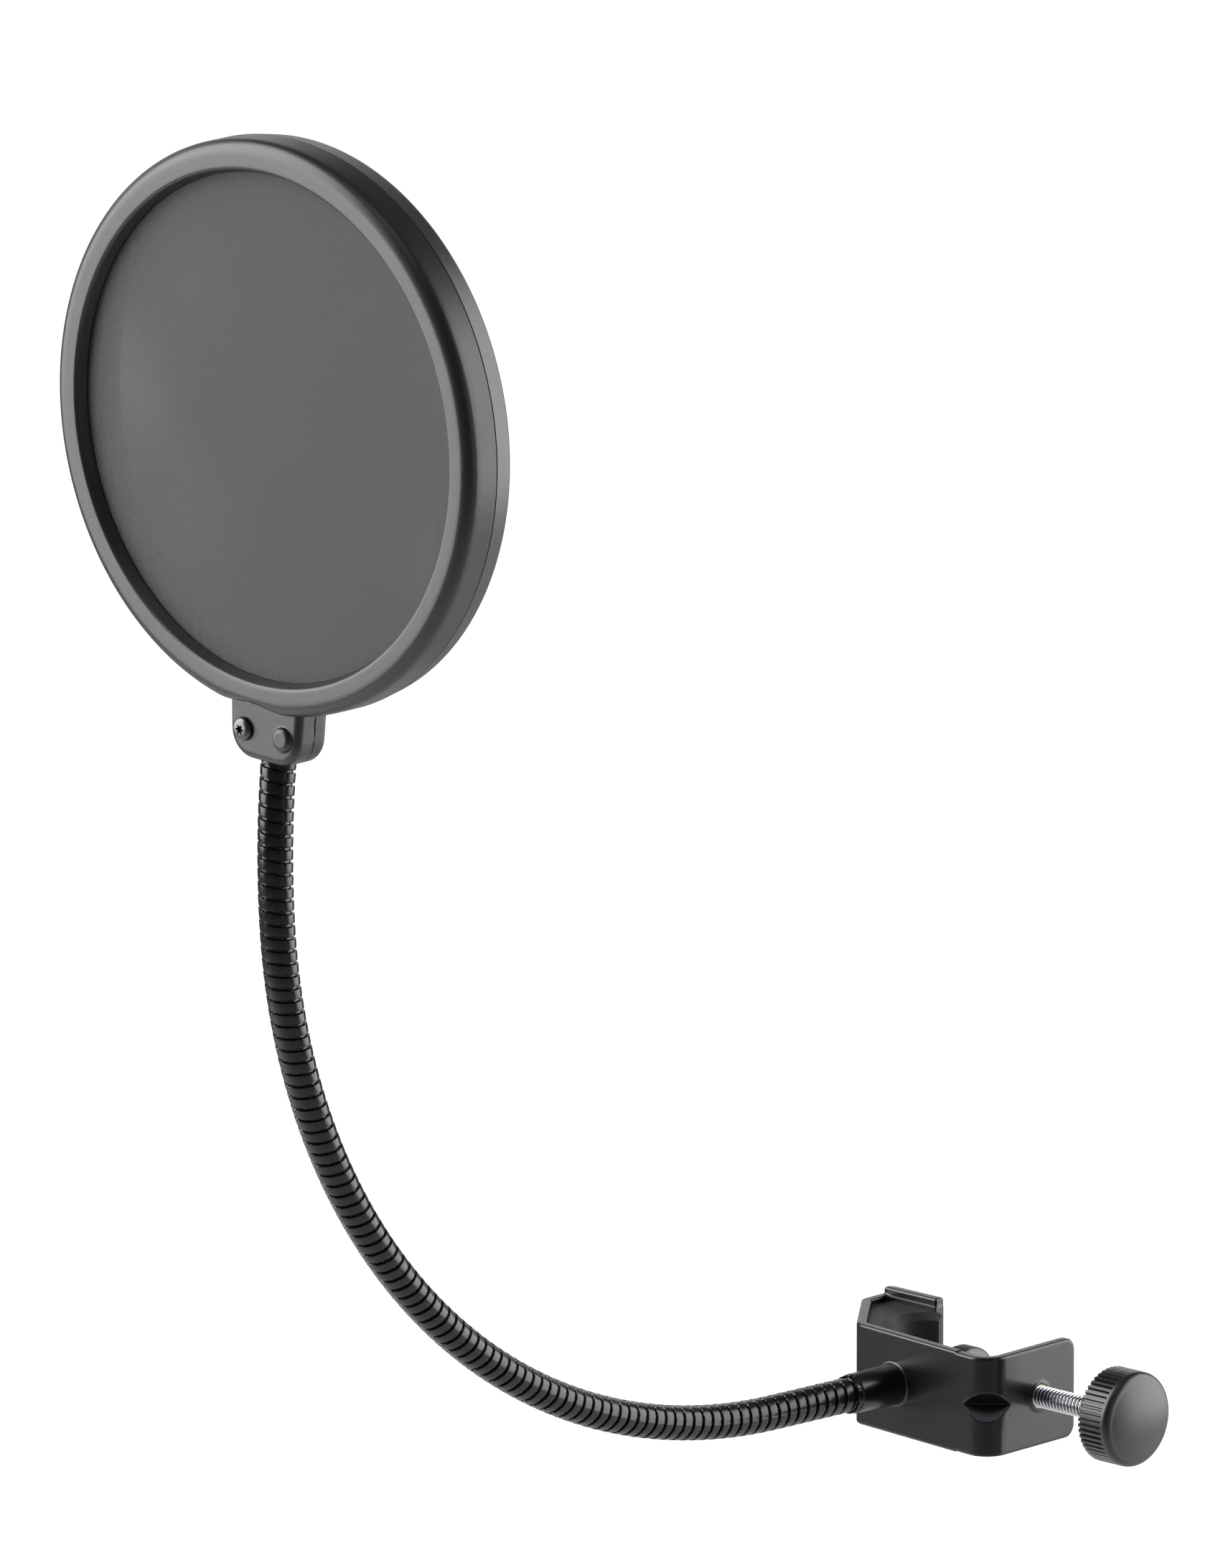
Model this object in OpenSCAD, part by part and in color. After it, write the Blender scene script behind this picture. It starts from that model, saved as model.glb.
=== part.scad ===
// Pop filter on a flexible arm with a tube clamp.
// Origin: on the axis of the clamped tube, level with the thumbscrew. +Z runs up the tube,
// +X runs out along the thumbscrew, and the filter faces -Y.

/* [Tube clamp] */
// Diameter of the tube that the clamp holds
tube_d = 22; // [20:0.5:24]
// Height of the clamp body
clamp_h = 29.4; // [26:0.2:34]
// Wall of the clamp body
clamp_wall = 3; // [2.6:0.1:3.4]
// Clear space between the tube and the inside of the web
web_gap = 4.25; // [1.5:0.05:7]
// Turn of the web and the arm away from the thumbscrew's square
web_skew = 4.87; // [0:0.01:8]
// Outer face of the flange, from the tube's axis
flange_x = 43.2; // [36:0.1:48]
// Length of the flange behind the thumbscrew
flange_tail = 15; // [14:0.1:24]
// Radius of the corner between web and flange
corner_r = 7; // [5:0.1:9]
// Radius of the flange's two free corners
flange_corner_r = 4; // [1:0.1:8]
// Thickness of the tube pad at the back of the hook
pad_t = 13.8; // [12:0.1:18]
// Clear space between the tube and the rear arm of the hook
rear_gap = 0.35; // [0.2:0.05:2]
// How far the pad stays below the top of the clamp body
pad_drop = 1.6; // [0.4:0.1:3]
// Extra height of the rear arm, above and below
rear_arm_rise = 2.2; // [0:0.1:5]
// Depth of the notch that stiffens the corner
notch_depth = 4.3; // [2:0.1:5]

/* [Thumbscrew] */
// Outside diameter of the screw thread
screw_d = 6.4; // [5:0.1:8]
// Height of the rim around the thread insert
screw_boss_h = 0.4; // [0.2:0.1:6]
// Wall of the thread insert
insert_wall = 0.2; // [0.2:0.05:0.8]
// Wall of the rim around the thread insert
screw_boss_wall = 0.9; // [0.7:0.1:2]
// Length of thread that shows between rim and knob
screw_shown = 26.1; // [16:0.1:34]
// Diameter of the knob over its ribs
knob_d = 27.2; // [20:0.1:34]
// Thickness of the knob
knob_t = 12.7; // [9:0.1:18]
// Diameter of the pressure cap
cap_d = 18.7; // [14:0.1:20]
// Thickness of the pressure cap and its soft facing
cap_t = 6.3; // [5:0.1:9]

/* [Flexible arm] */
// Diameter of the arm
arm_d = 10; // [8:0.1:12]
// Length of the boss that holds the arm
arm_boss_h = 18.1; // [14:0.1:28]
// Diameter of that boss
arm_boss_d = 11.5; // [11.2:0.1:16]
// Place of the arm along the web
arm_x = 5.88; // [0:0.01:12]
// Length of the straight start of the arm
arm_straight = 28; // [22:0.5:40]
// Length of each bending section of the arm
arm_step = 46; // [36:0.5:56]
// Radius of the arm's bend
arm_bend_r = 184; // [160:1:240]
// Radius of the bend in the last section
arm_end_r = 278; // [220:1:400]
// Length of the last section, up to the head
arm_last = 47.7; // [38:0.1:57]
// Largest bend of one section
arm_bend_max = 25; // [10:1:30]

/* [Filter head] */
// Outside diameter of the ring
ring_d = 160; // [130:0.1:200]
// Diameter of the opening
opening_d = 141.2; // [112:0.1:176]
// Depth of the front shell, from the parting line
front_depth = 10.9; // [8:0.1:14]
// Depth of the rear shell, from the parting line
rear_depth = 7.1; // [6:0.1:10]
// How far the front mesh lies in front of the parting line
front_mesh_y = 6.9; // [5:0.1:9]
// How far the rear mesh lies behind the parting line
rear_mesh_y = 3.6; // [2.6:0.1:5]
// Thickness of one mesh layer
mesh_t = 0.35; // [0.2:0.05:0.8]
// Wall of the two shells
shell_wall = 2; // [1.5:0.1:2.4]
// Height of the tab below the ring's edge
tab_h = 15; // [13:0.1:22]
// Half width of the tab where it leaves the ring
tab_half_w = 13.8; // [12:0.1:18]
// Depth of the tab in front of the parting line
tab_front = 6.3; // [6:0.1:9]
// Depth of the tab behind the parting line
tab_rear = 5.4; // [5:0.1:7]
// Distance between the two tab screws
tab_screw_gap = 15.2; // [14.4:0.1:20]
// Roll of the head about its own axis
head_roll = 2.4; // [-6:0.1:6]
// Sideways turn of the head on the arm
head_yaw = -0.85; // [-3:0.05:3]

/* [Hidden] */
$fn = 64;

eps = 0.01;              // overrun of a cut
fit = 0.05;              // clearance between pieces that sit in each other
arc_steps = 8;           // segments in a rounded corner

tube_r = tube_d / 2;
body_z = clamp_h / 2;
web_y = tube_r + web_gap + clamp_wall;      // outer face of the web, square from the tube's axis
flange_in = flange_x - clamp_wall;

// A point on the outer face of the web, at a given X.
function web_point(x) = [x, -(web_y + x * sin(web_skew)) / cos(web_skew)];

hook_x = -(tube_r + pad_t + clamp_wall + 0.6);      // outer face of the hook's end wall
hook_front = web_point(-11.2 / 11 * tube_r);
hook_rear_y = tube_r + rear_gap + clamp_wall;
hook_tip_x = -7;                                   // free end of the rear arm
hook_turn_y = 3.5;                                 // where the slanted wall meets the end wall

// Corners of the clamp's outer side, from the flange's tail round to the rear arm's tip,
// and the radius of each.
clamp_outer = [[flange_x, flange_tail], web_point(flange_x), hook_front,
  [hook_x, hook_turn_y], [hook_x, hook_rear_y], [hook_tip_x, hook_rear_y]];
clamp_outer_r = [0, corner_r, 5.3, 3.6, 4.2, 0];
clamp_inner = inset(clamp_outer, clamp_wall);
clamp_inner_r = [for (r = clamp_outer_r) r == 0 ? 0 : max(r - clamp_wall, 0.8)];

pad_z = body_z - pad_drop;
pad_lead = 1.9;                                    // lead-in at the pad's two rims
pad_stop_x = -4.6;                                 // free edge of the pad

screw_r = screw_d / 2;
screw_boss_x = flange_x + screw_boss_h;
insert_r = screw_r + insert_wall;
screw_boss_r = insert_r + screw_boss_wall;
cap_x = tube_r + fit;
facing_t = 1.2;
knob_x = screw_boss_x + screw_shown;
knob_rim = 0.9;                                    // depth of the ribs
knob_ribs = 50;

arm_r = arm_d / 2;
core_r = arm_r * 0.62;                             // bore of the outer coil
core_wall = 0.8;
arm_y = -(web_y + arm_boss_h);                     // free end of the arm's boss
arm_boss_flare = 1.5;                              // fillet between the boss and the web
arm_sink = 6;                                      // length of arm inside the boss
anchor_r = core_r - core_wall - fit;
joint_cut = arm_r * tan((arm_bend_max + 1) / 2);         // each section stops this far from its pivot
ball_r = sqrt(arm_r * arm_r - joint_cut * joint_cut);
socket_gap = 0.07;
arm_sections = 7;
arm_tuck = 2;                                      // length of arm inside the head
arm_foot = arm_straight + (arm_sections - 1) * arm_step + arm_last;
arm_len = arm_foot + arm_tuck;

// Angle of the arm above the horizontal, a length s along it.
function arm_angle(s) = let (b = s - arm_straight, m = (arm_sections - 1) * arm_step)
  b <= 0 ? 0 : b <= m ? b / arm_bend_r * 180 / PI
  : (m / arm_bend_r + (b - m) / arm_end_r) * 180 / PI;
// Forward reach and height of the arm, a length s along it.
function arc_move(p, a, b, r) = p + r * [sin(b) - sin(a), cos(a) - cos(b)];
function arm_point(s) = let (m = arm_straight + (arm_sections - 1) * arm_step)
  s <= arm_straight ? [s, 0]
  : s <= m ? arc_move([arm_straight, 0], 0, arm_angle(s), arm_bend_r)
  : arc_move(arm_point(m), arm_angle(m), arm_angle(s), arm_end_r);
function pivot_s(i) = arm_straight + i * arm_step;

ring_r = ring_d / 2;
open_r = opening_d / 2;
ring_z = ring_r + tab_h;                           // ring's centre above the tab's foot
part_gap = 0.04;                                   // half the gap between the two shells
wall_in = ring_r - shell_wall;
mesh_r = wall_in - 0.2;
lip_h = 0.9;                                       // lip of the opening above the mesh
lip_back = 2.6;                                    // slope of the opening's wall
tongue_h = 1.6;
tongue_t = 0.8;
tab_screw_z = 8.2;
tab_screw_head_r = 3.35;
tab_dome_r = 3.45;
ferrule_up = 10.5;                                 // length of the ferrule beyond the arm
ferrule_r = 3;
ferrule_collar_r = 3.8;

// Unit vector, and the angle of a vector in the plane.
function unit(v) = v / norm(v);
function heading(v) = atan2(v[1], v[0]);
// Arc that rounds the corner b between a and c.
function corner(a, b, c, r) = r <= 0 ? [b] : let (
  u = unit(a - b), v = unit(c - b), half = acos(u * v) / 2,
  m = b + unit(u + v) * r / sin(half),
  h0 = heading(b + u * r / tan(half) - m), h1 = heading(b + v * r / tan(half) - m),
  turn = (h1 - h0 + 540) % 360 - 180)
  [for (i = [0:arc_steps]) m + r * [cos(h0 + turn * i / arc_steps), sin(h0 + turn * i / arc_steps)]];
// Closed outline with each corner rounded by its own radius.
function rounded(p, r) = let (n = len(p))
  [for (i = [0:n - 1]) each corner(p[(i + n - 1) % n], p[i], p[(i + 1) % n], r[i])];
// Open line moved sideways, to the right of its direction.
function side(p, i) = let (d = unit(p[i + 1] - p[i])) [d[1], -d[0]];
function inset(p, t) = let (n = len(p)) [for (i = [0:n - 1])
  i == 0 ? p[0] - side(p, 0) * -t
  : i == n - 1 ? p[n - 1] + side(p, n - 2) * t
  : let (s0 = side(p, i - 1), s1 = side(p, i)) p[i] + (s0 + s1) * t / (1 + s0 * s1)];
function reverse(p) = [for (i = [len(p) - 1:-1:0]) p[i]];

// ---- places ----

// The plane of the arm: its -Y is the direction in which the arm leaves the web.
module arm_plane() { rotate([0, 0, -web_skew]) children(); }

// Frame at length s of the arm: +Z along the arm, +Y towards the inside of its bend.
module on_arm(s) {
  p = arm_point(s);
  arm_plane() translate([arm_x, arm_y - p[0], p[1]]) rotate([90 - arm_angle(s), 0, 0]) children();
}

// Frame of the head: origin at the middle of the tab's foot, -Y out of the front.
module head_place() {
  p = arm_point(arm_foot);
  foot = [arm_x, arm_y - p[0], p[1]];
  translate([foot[0] * cos(web_skew) + foot[1] * sin(web_skew),
    foot[1] * cos(web_skew) - foot[0] * sin(web_skew), foot[2]])
    rotate([0, head_roll, head_yaw]) children();
}

// A flat outline in X and Z of the head, raised from depth y0 to y1 along -Y.
module head_plate(y0, y1) {
  rotate([90, 0, 0]) translate([0, 0, y0]) linear_extrude(y1 - y0) children();
}

// ---- clamp ----

module clamp_outline() {
  polygon(concat(rounded_open(clamp_outer, clamp_outer_r),
    reverse(rounded_open(clamp_inner, clamp_inner_r))));
}
function rounded_open(p, r) = let (n = len(p)) concat([p[0]],
  [for (i = [1:n - 2]) each corner(p[i - 1], p[i], p[i + 1], r[i])], [p[n - 1]]);

// Bar with a square section set on edge, lying across the corner of web and flange.
module corner_bar(depth) {
  facing = (heading([1, 0]) + heading([-sin(web_skew), -cos(web_skew)])) / 2;
  translate(concat(web_point(flange_x), [0])) rotate([0, 0, facing]) rotate([0, 45, 0])
    cube([depth * sqrt(2), 60, depth * sqrt(2)], center = true);
}

module clamp_body() {
  corner_rise = corner_r * (1 / sin((90 - web_skew) / 2) - 1);
  color([0.07, 0.07, 0.075]) difference() {
    union() {
      translate([0, 0, -body_z]) linear_extrude(clamp_h) clamp_outline();
      // Rear arm stands taller than the rest.
      rear_z = body_z + rear_arm_rise;
      translate([0, 0, -rear_z]) linear_extrude(2 * rear_z) intersection() {
        clamp_outline();
        translate([hook_x + 1.4, hook_rear_y - clamp_wall])
          square([hook_tip_x - hook_x, clamp_wall + 1]);
      }
      // Gusset behind the notch.
      intersection() {
        corner_bar(notch_depth + corner_rise + clamp_wall * sqrt(2));
        translate([0, 0, -body_z]) linear_extrude(clamp_h)
          polygon(rounded_open(clamp_outer, clamp_outer_r));
      }
      // Boss of the arm, flared into the web.
      arm_plane() translate([arm_x, -web_y + clamp_wall / 2, 0]) rotate([90, 0, 0]) flared_boss(
        arm_boss_d / 2, arm_boss_h + clamp_wall / 2, clamp_wall / 2, arm_boss_flare);
      // Rim around the thread insert.
      translate([flange_x - clamp_wall / 2, 0, 0]) rotate([0, 90, 0]) flared_boss(
        screw_boss_r, screw_boss_h + clamp_wall / 2, clamp_wall / 2, screw_boss_h * 0.7);
      // Collar that carries the thread insert inside the flange.
      translate([flange_in - 2, 0, 0]) rotate([0, 90, 0]) cylinder(r = screw_boss_r + 0.6, h = 2 + eps);
    }
    corner_bar(notch_depth + corner_rise);
    // Free corners of the flange.
    for (side_z = [-1, 1]) round_free_corner(side_z);
    // Seat of the thread insert.
    translate([flange_in - 3, 0, 0]) rotate([0, 90, 0])
      cylinder(r = insert_r, h = clamp_wall + screw_boss_h + 4);
    // Seats of the arm and its anchor.
    arm_plane() translate([arm_x, arm_y, 0]) rotate([-90, 0, 0]) {
      translate([0, 0, -eps]) cylinder(r = arm_r + fit, h = arm_sink + eps);
      cylinder(r = anchor_r + fit, h = arm_boss_h + clamp_wall + 1);
    }
  }
}

// Cuts one free corner of the flange to a quarter round.
module round_free_corner(side_z) {
  r = flange_corner_r;
  translate([flange_in - 1, flange_tail - r, side_z * (body_z - r)]) rotate([0, 90, 0]) difference() {
    translate([side_z > 0 ? -r - 1 : 0, 0, 0]) cube([r + 1, r + 1, clamp_wall + 2]);
    translate([0, 0, -1]) cylinder(r = r, h = clamp_wall + 4);
  }
}

// Round boss along +Z with a concave flare where it meets the wall at height base.
module flared_boss(r, h, base, flare) {
  rotate_extrude() polygon(concat([[0, 0], [r + flare, 0], [r + flare, base]],
    [for (i = [1:arc_steps]) let (a = 90 * i / arc_steps)
      [r + flare * (1 - sin(a)), base + flare * (1 - cos(a))]],
    [[r, h], [0, h]]));
}

module tube_pad() {
  color([0.30, 0.30, 0.31]) difference() {
    translate([0, 0, -pad_z]) linear_extrude(2 * pad_z) intersection() {
      polygon(rounded_open(inset(clamp_inner, fit), [for (r = clamp_inner_r) max(r - fit, 0)]));
      translate([hook_x, -60]) square([pad_stop_x - hook_x, 120]);
    }
    translate([0, 0, -pad_z - 1]) cylinder(r = tube_r, h = 2 * pad_z + 2);
    for (m = [0, 1]) mirror([0, 0, m]) translate([0, 0, pad_z - pad_lead])
      cylinder(r1 = tube_r, r2 = tube_r + pad_lead, h = pad_lead + eps);
  }
}

module thread_insert() {
  len_in = clamp_wall + screw_boss_h + 2;
  color([0.72, 0.62, 0.36]) translate([flange_in - 2, 0, 0]) rotate([0, 90, 0]) difference() {
    cylinder(r = insert_r - 0.02, h = len_in - 0.2);
    translate([0, 0, -1]) cylinder(r = screw_r + 0.06, h = len_in + 2);
  }
}

module arm_anchor() {
  depth = arm_boss_h + clamp_wall - 0.6;
  color([0.72, 0.62, 0.36]) arm_plane() translate([arm_x, arm_y - arm_straight * 0.5, 0])
    rotate([-90, 0, 0]) cylinder(r = anchor_r, h = depth + arm_straight * 0.5);
}

// ---- thumbscrew ----

module pressure_cap() {
  color([0.10, 0.10, 0.105]) translate([cap_x + facing_t, 0, 0]) rotate([0, 90, 0]) difference() {
    cylinder(r = cap_d / 2, h = cap_t - facing_t);
    translate([0, 0, 1.6]) cylinder(r = screw_r * 0.75 + 0.06, h = cap_t);
  }
}

module cap_facing() {
  color([0.04, 0.04, 0.04]) translate([cap_x, 0, 0]) rotate([0, 90, 0])
    cylinder(r = cap_d / 2 - 0.6, h = facing_t);
}

module thumb_screw() {
  tip = cap_x + facing_t + 1.8;
  shoulder = cap_x + cap_t + 0.3;
  color([0.75, 0.76, 0.78]) {
    translate([tip, 0, 0]) rotate([0, 90, 0])
      cylinder(r = screw_r * 0.75, h = shoulder - tip + eps);
    translate([shoulder, 0, 0]) rotate([0, 90, 0])
      cylinder(r = screw_r, h = knob_x + knob_t * 0.6 - shoulder);
  }
}

module knob() {
  r = knob_d / 2;
  dome = 2.7;
  shoulder = 1.6;
  color([0.09, 0.09, 0.095]) translate([knob_x, 0, 0]) rotate([0, 90, 0]) difference() {
    rotate_extrude($fn = 100) polygon(concat(
      [[screw_r + fit, 0], [r, 0]], rounded_shoulder(r, knob_t - dome, shoulder),
      [for (i = [1:arc_steps]) let (a = i / arc_steps)
        [(r - shoulder) * (1 - a), knob_t - dome * (1 - a) * (1 - a)]],
      [[0, knob_t * 0.6 + 0.1], [screw_r + fit, knob_t * 0.6 + 0.1]]));
    // Ribs: a row of grooves that stop short of the face.
    for (i = [0:knob_ribs - 1]) rotate([0, 0, i * 360 / knob_ribs])
      translate([r - knob_rim, -0.42, -1]) cube([knob_rim + 1, 0.84, knob_t - dome - shoulder + 0.6]);
  }
}
function rounded_shoulder(r, h, f) = [for (i = [0:arc_steps]) let (a = 90 * i / arc_steps)
  [r - f + f * cos(a), h - f + f * sin(a)]];

// ---- flexible arm ----

// Bent rod of radius r along the arm, from s0 to s1, within one bend of radius bend.
module bent_rod(s0, s1, r, bend) {
  turn = (s1 - s0) / bend * 180 / PI;
  on_arm(s0) translate([0, bend, 0]) rotate([90, 0, 0]) rotate([0, -90, 0])
    rotate_extrude(angle = turn, $fn = 360) translate([bend, 0]) circle(r = r, $fn = 48);
}
function section_bend(i) = i < arm_sections ? arm_bend_r : arm_end_r;

// Outer coil of section i, between pivot i and the next, with a socket below and a ball above.
module coil(i) {
  s0 = pivot_s(i - 1);
  s1 = i == arm_sections ? arm_len : pivot_s(i);
  bend = section_bend(i);
  color([0.05, 0.05, 0.055]) difference() {
    union() {
      bent_rod(s0 + joint_cut, i == arm_sections ? s1 : s1 - joint_cut, arm_r, bend);
      if (i < arm_sections) on_arm(s1) sphere(r = ball_r);
    }
    on_arm(s0) sphere(r = ball_r + socket_gap);
    bent_rod(s0 + joint_cut / 2, i == arm_sections ? s1 + 0.5 : s1 - eps, core_r + fit, bend);
    if (i < arm_sections) on_arm(s1 - 0.8) cylinder(r = core_r + 0.3, h = arm_r + 1);
  }
}

module coil_root() {
  color([0.05, 0.05, 0.055]) difference() {
    union() {
      on_arm(0) translate([0, 0, -arm_sink + 0.1])
        cylinder(r = arm_r, h = arm_sink - 0.1 + arm_straight - joint_cut);
      on_arm(arm_straight) sphere(r = ball_r);
    }
    on_arm(0) translate([0, 0, -arm_sink - 1])
      cylinder(r = core_r + fit, h = arm_sink + arm_straight + arm_r + 2);
  }
}

// Inner spring of section i, kept clear of the ball below.
module core(i) {
  s0 = pivot_s(i - 1) + ball_r + 1.2;
  s1 = i == arm_sections ? arm_len - 0.3 : pivot_s(i) - 1;
  bend = section_bend(i);
  color([0.55, 0.56, 0.58]) difference() {
    bent_rod(s0, s1, core_r, bend);
    bent_rod(s0 - 0.2, s1 + 0.2, core_r - core_wall, bend);
  }
}

module core_root() {
  color([0.55, 0.56, 0.58]) on_arm(0) translate([0, 0, -arm_sink + 0.1]) difference() {
    cylinder(r = core_r, h = arm_sink + arm_straight - 1.1);
    translate([0, 0, -1]) cylinder(r = core_r - core_wall, h = arm_sink + arm_straight + 2);
  }
}

// ---- head ----

module head_ferrule() {
  color([0.72, 0.62, 0.36]) {
    bent_rod(arm_len - 12, arm_len + 0.4, core_r - core_wall - fit, arm_end_r);
    on_arm(arm_len) translate([0, 0, 0.3]) cylinder(r = ferrule_r, h = ferrule_up - 0.3);
    on_arm(arm_len) translate([0, 0, ferrule_up - 3]) cylinder(r = ferrule_collar_r, h = 3);
  }
}

// Section of one shell, radius against depth from the parting plane.
function shell_section(crown, mesh, tongue) = concat(
  tongue ? [[wall_in, -tongue_h], [wall_in + tongue_t, -tongue_h], [wall_in + tongue_t, part_gap]]
    : [[wall_in + tongue_t + 0.1, part_gap]],
  [[ring_r, part_gap]],
  corner([ring_r, 0], [ring_r, crown], [open_r, crown], 2.8),
  corner([ring_r, crown], [open_r + lip_back, crown], [open_r, mesh + lip_h], 1.4),
  [[open_r, mesh + lip_h], [open_r, mesh + 0.03], [open_r + shell_wall, mesh + 0.03]],
  [[open_r + shell_wall + lip_back, crown - shell_wall], [wall_in - 1.2, crown - shell_wall],
    [wall_in, crown - shell_wall - 1.2]],
  tongue ? [] : [[wall_in, tongue_h + 0.3], [wall_in + tongue_t + 0.1, tongue_h + 0.3]]);

tab_outline = rounded(
  [[-tab_half_w, tab_h + 4], [-tab_half_w + 1, 0], [tab_half_w - 1, 0], [tab_half_w, tab_h + 4]],
  [0, 8, 8, 0]);

// One half of the head, its outside towards -Y. The screw enters on screw_side, and the other
// side has a dome over the end of the screw from the other half.
module shell_half(crown, mesh, tab_y, screw_side, tongue) {
  difference() {
    union() {
      translate([0, 0, ring_z]) rotate([90, 0, 0]) rotate_extrude($fn = 180)
        polygon(shell_section(crown, mesh, tongue));
      difference() {
        head_plate(part_gap, tab_y) polygon(tab_outline);
        translate([0, 0, ring_z]) rotate([90, 0, 0]) translate([0, 0, -1])
          cylinder(r = wall_in + tongue_t + 0.15, h = 20, $fn = 180);
      }
      translate([-screw_side * tab_screw_gap / 2, -tab_y + eps, tab_screw_z]) rotate([90, 0, 0])
        dome(tab_dome_r, 1.8);
    }
    translate([screw_side * tab_screw_gap / 2, 0, tab_screw_z]) rotate([90, 0, 0])
      translate([0, 0, -1]) cylinder(r = 1.62, h = tab_y + 2);
    translate([-screw_side * tab_screw_gap / 2, 0, tab_screw_z]) rotate([90, 0, 0])
      translate([0, 0, -1]) cylinder(r = 1.56, h = tab_y + 1.6);
  }
}

module dome(r, h) {
  rotate_extrude() polygon(concat([[0, 0], [r, 0]], rounded_shoulder(r, h, 1.6), [[0, h + 0.3]]));
}

module ferrule_pocket() {
  on_arm(arm_len) {
    translate([0, 0, -arm_tuck - 2]) cylinder(r = arm_r + 0.1, h = arm_tuck + 2.4);
    cylinder(r = ferrule_r + fit, h = ferrule_up);
    translate([0, 0, ferrule_up - 3.05]) cylinder(r = ferrule_collar_r + fit, h = 3.1);
  }
}

module front_shell() {
  color([0.08, 0.08, 0.085]) difference() {
    head_place() shell_half(front_depth, front_mesh_y, tab_front, -1, true);
    ferrule_pocket();
  }
}

module rear_shell() {
  color([0.08, 0.08, 0.085]) difference() {
    head_place() mirror([0, 1, 0]) shell_half(rear_depth, rear_mesh_y, tab_rear, 1, false);
    ferrule_pocket();
  }
}

module mesh_disc(y) {
  head_place() translate([0, y, ring_z]) rotate([90, 0, 0]) cylinder(r = mesh_r, h = mesh_t, $fn = 180);
}
module front_mesh() { color([0.20, 0.20, 0.21]) mesh_disc(-front_mesh_y + mesh_t); }
module rear_mesh() { color([0.20, 0.20, 0.21]) mesh_disc(rear_mesh_y); }

module mesh_spacer() {
  h = front_mesh_y + rear_mesh_y - 2 * mesh_t - 0.04;
  color([0.12, 0.12, 0.12]) head_place() translate([0, rear_mesh_y - mesh_t - 0.02, ring_z])
    rotate([90, 0, 0]) rotate_extrude($fn = 180) translate([open_r + 0.5, 0]) square([3.2, h]);
}

// Screw into the tab from -Y, through the near half and into the far one.
module tab_screw(near, far) {
  rotate([90, 0, 0]) difference() {
    union() {
      translate([0, 0, near + 0.02]) dome(tab_screw_head_r, 1.6);
      translate([0, 0, -far + 0.4]) cylinder(r = 1.5, h = near + far);
    }
    translate([0, 0, near + 0.8]) cylinder(r = 1.3, h = 3, $fn = 6);
  }
}
module front_screw() {
  color([0.45, 0.45, 0.47]) head_place() translate([-tab_screw_gap / 2, 0, tab_screw_z])
    tab_screw(tab_front, tab_rear);
}
module rear_screw() {
  color([0.45, 0.45, 0.47]) head_place() mirror([0, 1, 0]) translate([tab_screw_gap / 2, 0, tab_screw_z])
    tab_screw(tab_rear, tab_front);
}

clamp_body();
tube_pad();
thread_insert();
arm_anchor();
pressure_cap();
cap_facing();
thumb_screw();
knob();
coil_root();
core_root();
for (i = [1:arm_sections]) {
  coil(i);
  core(i);
}
head_ferrule();
front_shell();
rear_shell();
front_mesh();
rear_mesh();
mesh_spacer();
front_screw();
rear_screw();
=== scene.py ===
"""Pop filter on a flexible arm: the visible surfaces, their finishes, the light and the camera.

Lengths inside the classes are in millimetres and become metres when a mesh is written.
"""

from __future__ import annotations

import logging
import math
from dataclasses import dataclass, field
from enum import Enum
from typing import Callable, Iterable

import bpy
import numpy as np
from mathutils import Matrix, Vector

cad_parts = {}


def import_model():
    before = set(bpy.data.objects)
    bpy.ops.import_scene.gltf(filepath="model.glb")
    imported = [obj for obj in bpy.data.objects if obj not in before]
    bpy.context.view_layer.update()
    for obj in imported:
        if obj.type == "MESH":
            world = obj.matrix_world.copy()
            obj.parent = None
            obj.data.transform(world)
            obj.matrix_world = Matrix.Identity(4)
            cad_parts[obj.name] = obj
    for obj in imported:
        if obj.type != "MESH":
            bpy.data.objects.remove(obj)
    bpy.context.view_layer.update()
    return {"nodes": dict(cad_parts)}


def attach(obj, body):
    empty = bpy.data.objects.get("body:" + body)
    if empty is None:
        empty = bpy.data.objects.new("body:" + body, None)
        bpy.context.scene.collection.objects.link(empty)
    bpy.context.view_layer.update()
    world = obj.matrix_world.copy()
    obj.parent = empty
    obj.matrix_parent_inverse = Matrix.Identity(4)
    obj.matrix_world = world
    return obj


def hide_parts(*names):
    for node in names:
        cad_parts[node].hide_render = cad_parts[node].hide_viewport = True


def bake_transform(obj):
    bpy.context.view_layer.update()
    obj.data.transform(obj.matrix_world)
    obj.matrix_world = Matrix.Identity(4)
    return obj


LOG = logging.getLogger("pop_filter")
MM = 0.001
Array = np.ndarray
Socket = bpy.types.NodeSocket
Pair = tuple[float, float]
Triple = tuple[float, float, float]
Field = Callable[[Array, Array, Array], Array]
TURN = 2 * math.pi


# ---------------------------------------------------------------- numeric helpers


def smooth_step(t: Array) -> Array:
    """Cubic ramp 3t^2 - 2t^3, with t held between 0 and 1."""
    t = np.clip(t, 0.0, 1.0)
    return t * t * (3.0 - 2.0 * t)


def smooth_min(a: Array, b: Array, k: float) -> Array:
    """Smaller of two distances with a fillet of size k where they meet.

    Args:
        a: First signed distance.
        b: Second signed distance.
        k: Size of the fillet.

    Returns:
        min(a, b) less a quarter of k times the square of how nearly equal they are.
    """
    h = np.maximum(k - np.abs(a - b), 0.0) / k
    return np.minimum(a, b) - h * h * k * 0.25


def smooth_max(a: Array, b: Array, k: float) -> Array:
    """Larger of two distances with a rounding of size k where they meet."""
    return -smooth_min(-a, -b, k)


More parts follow.
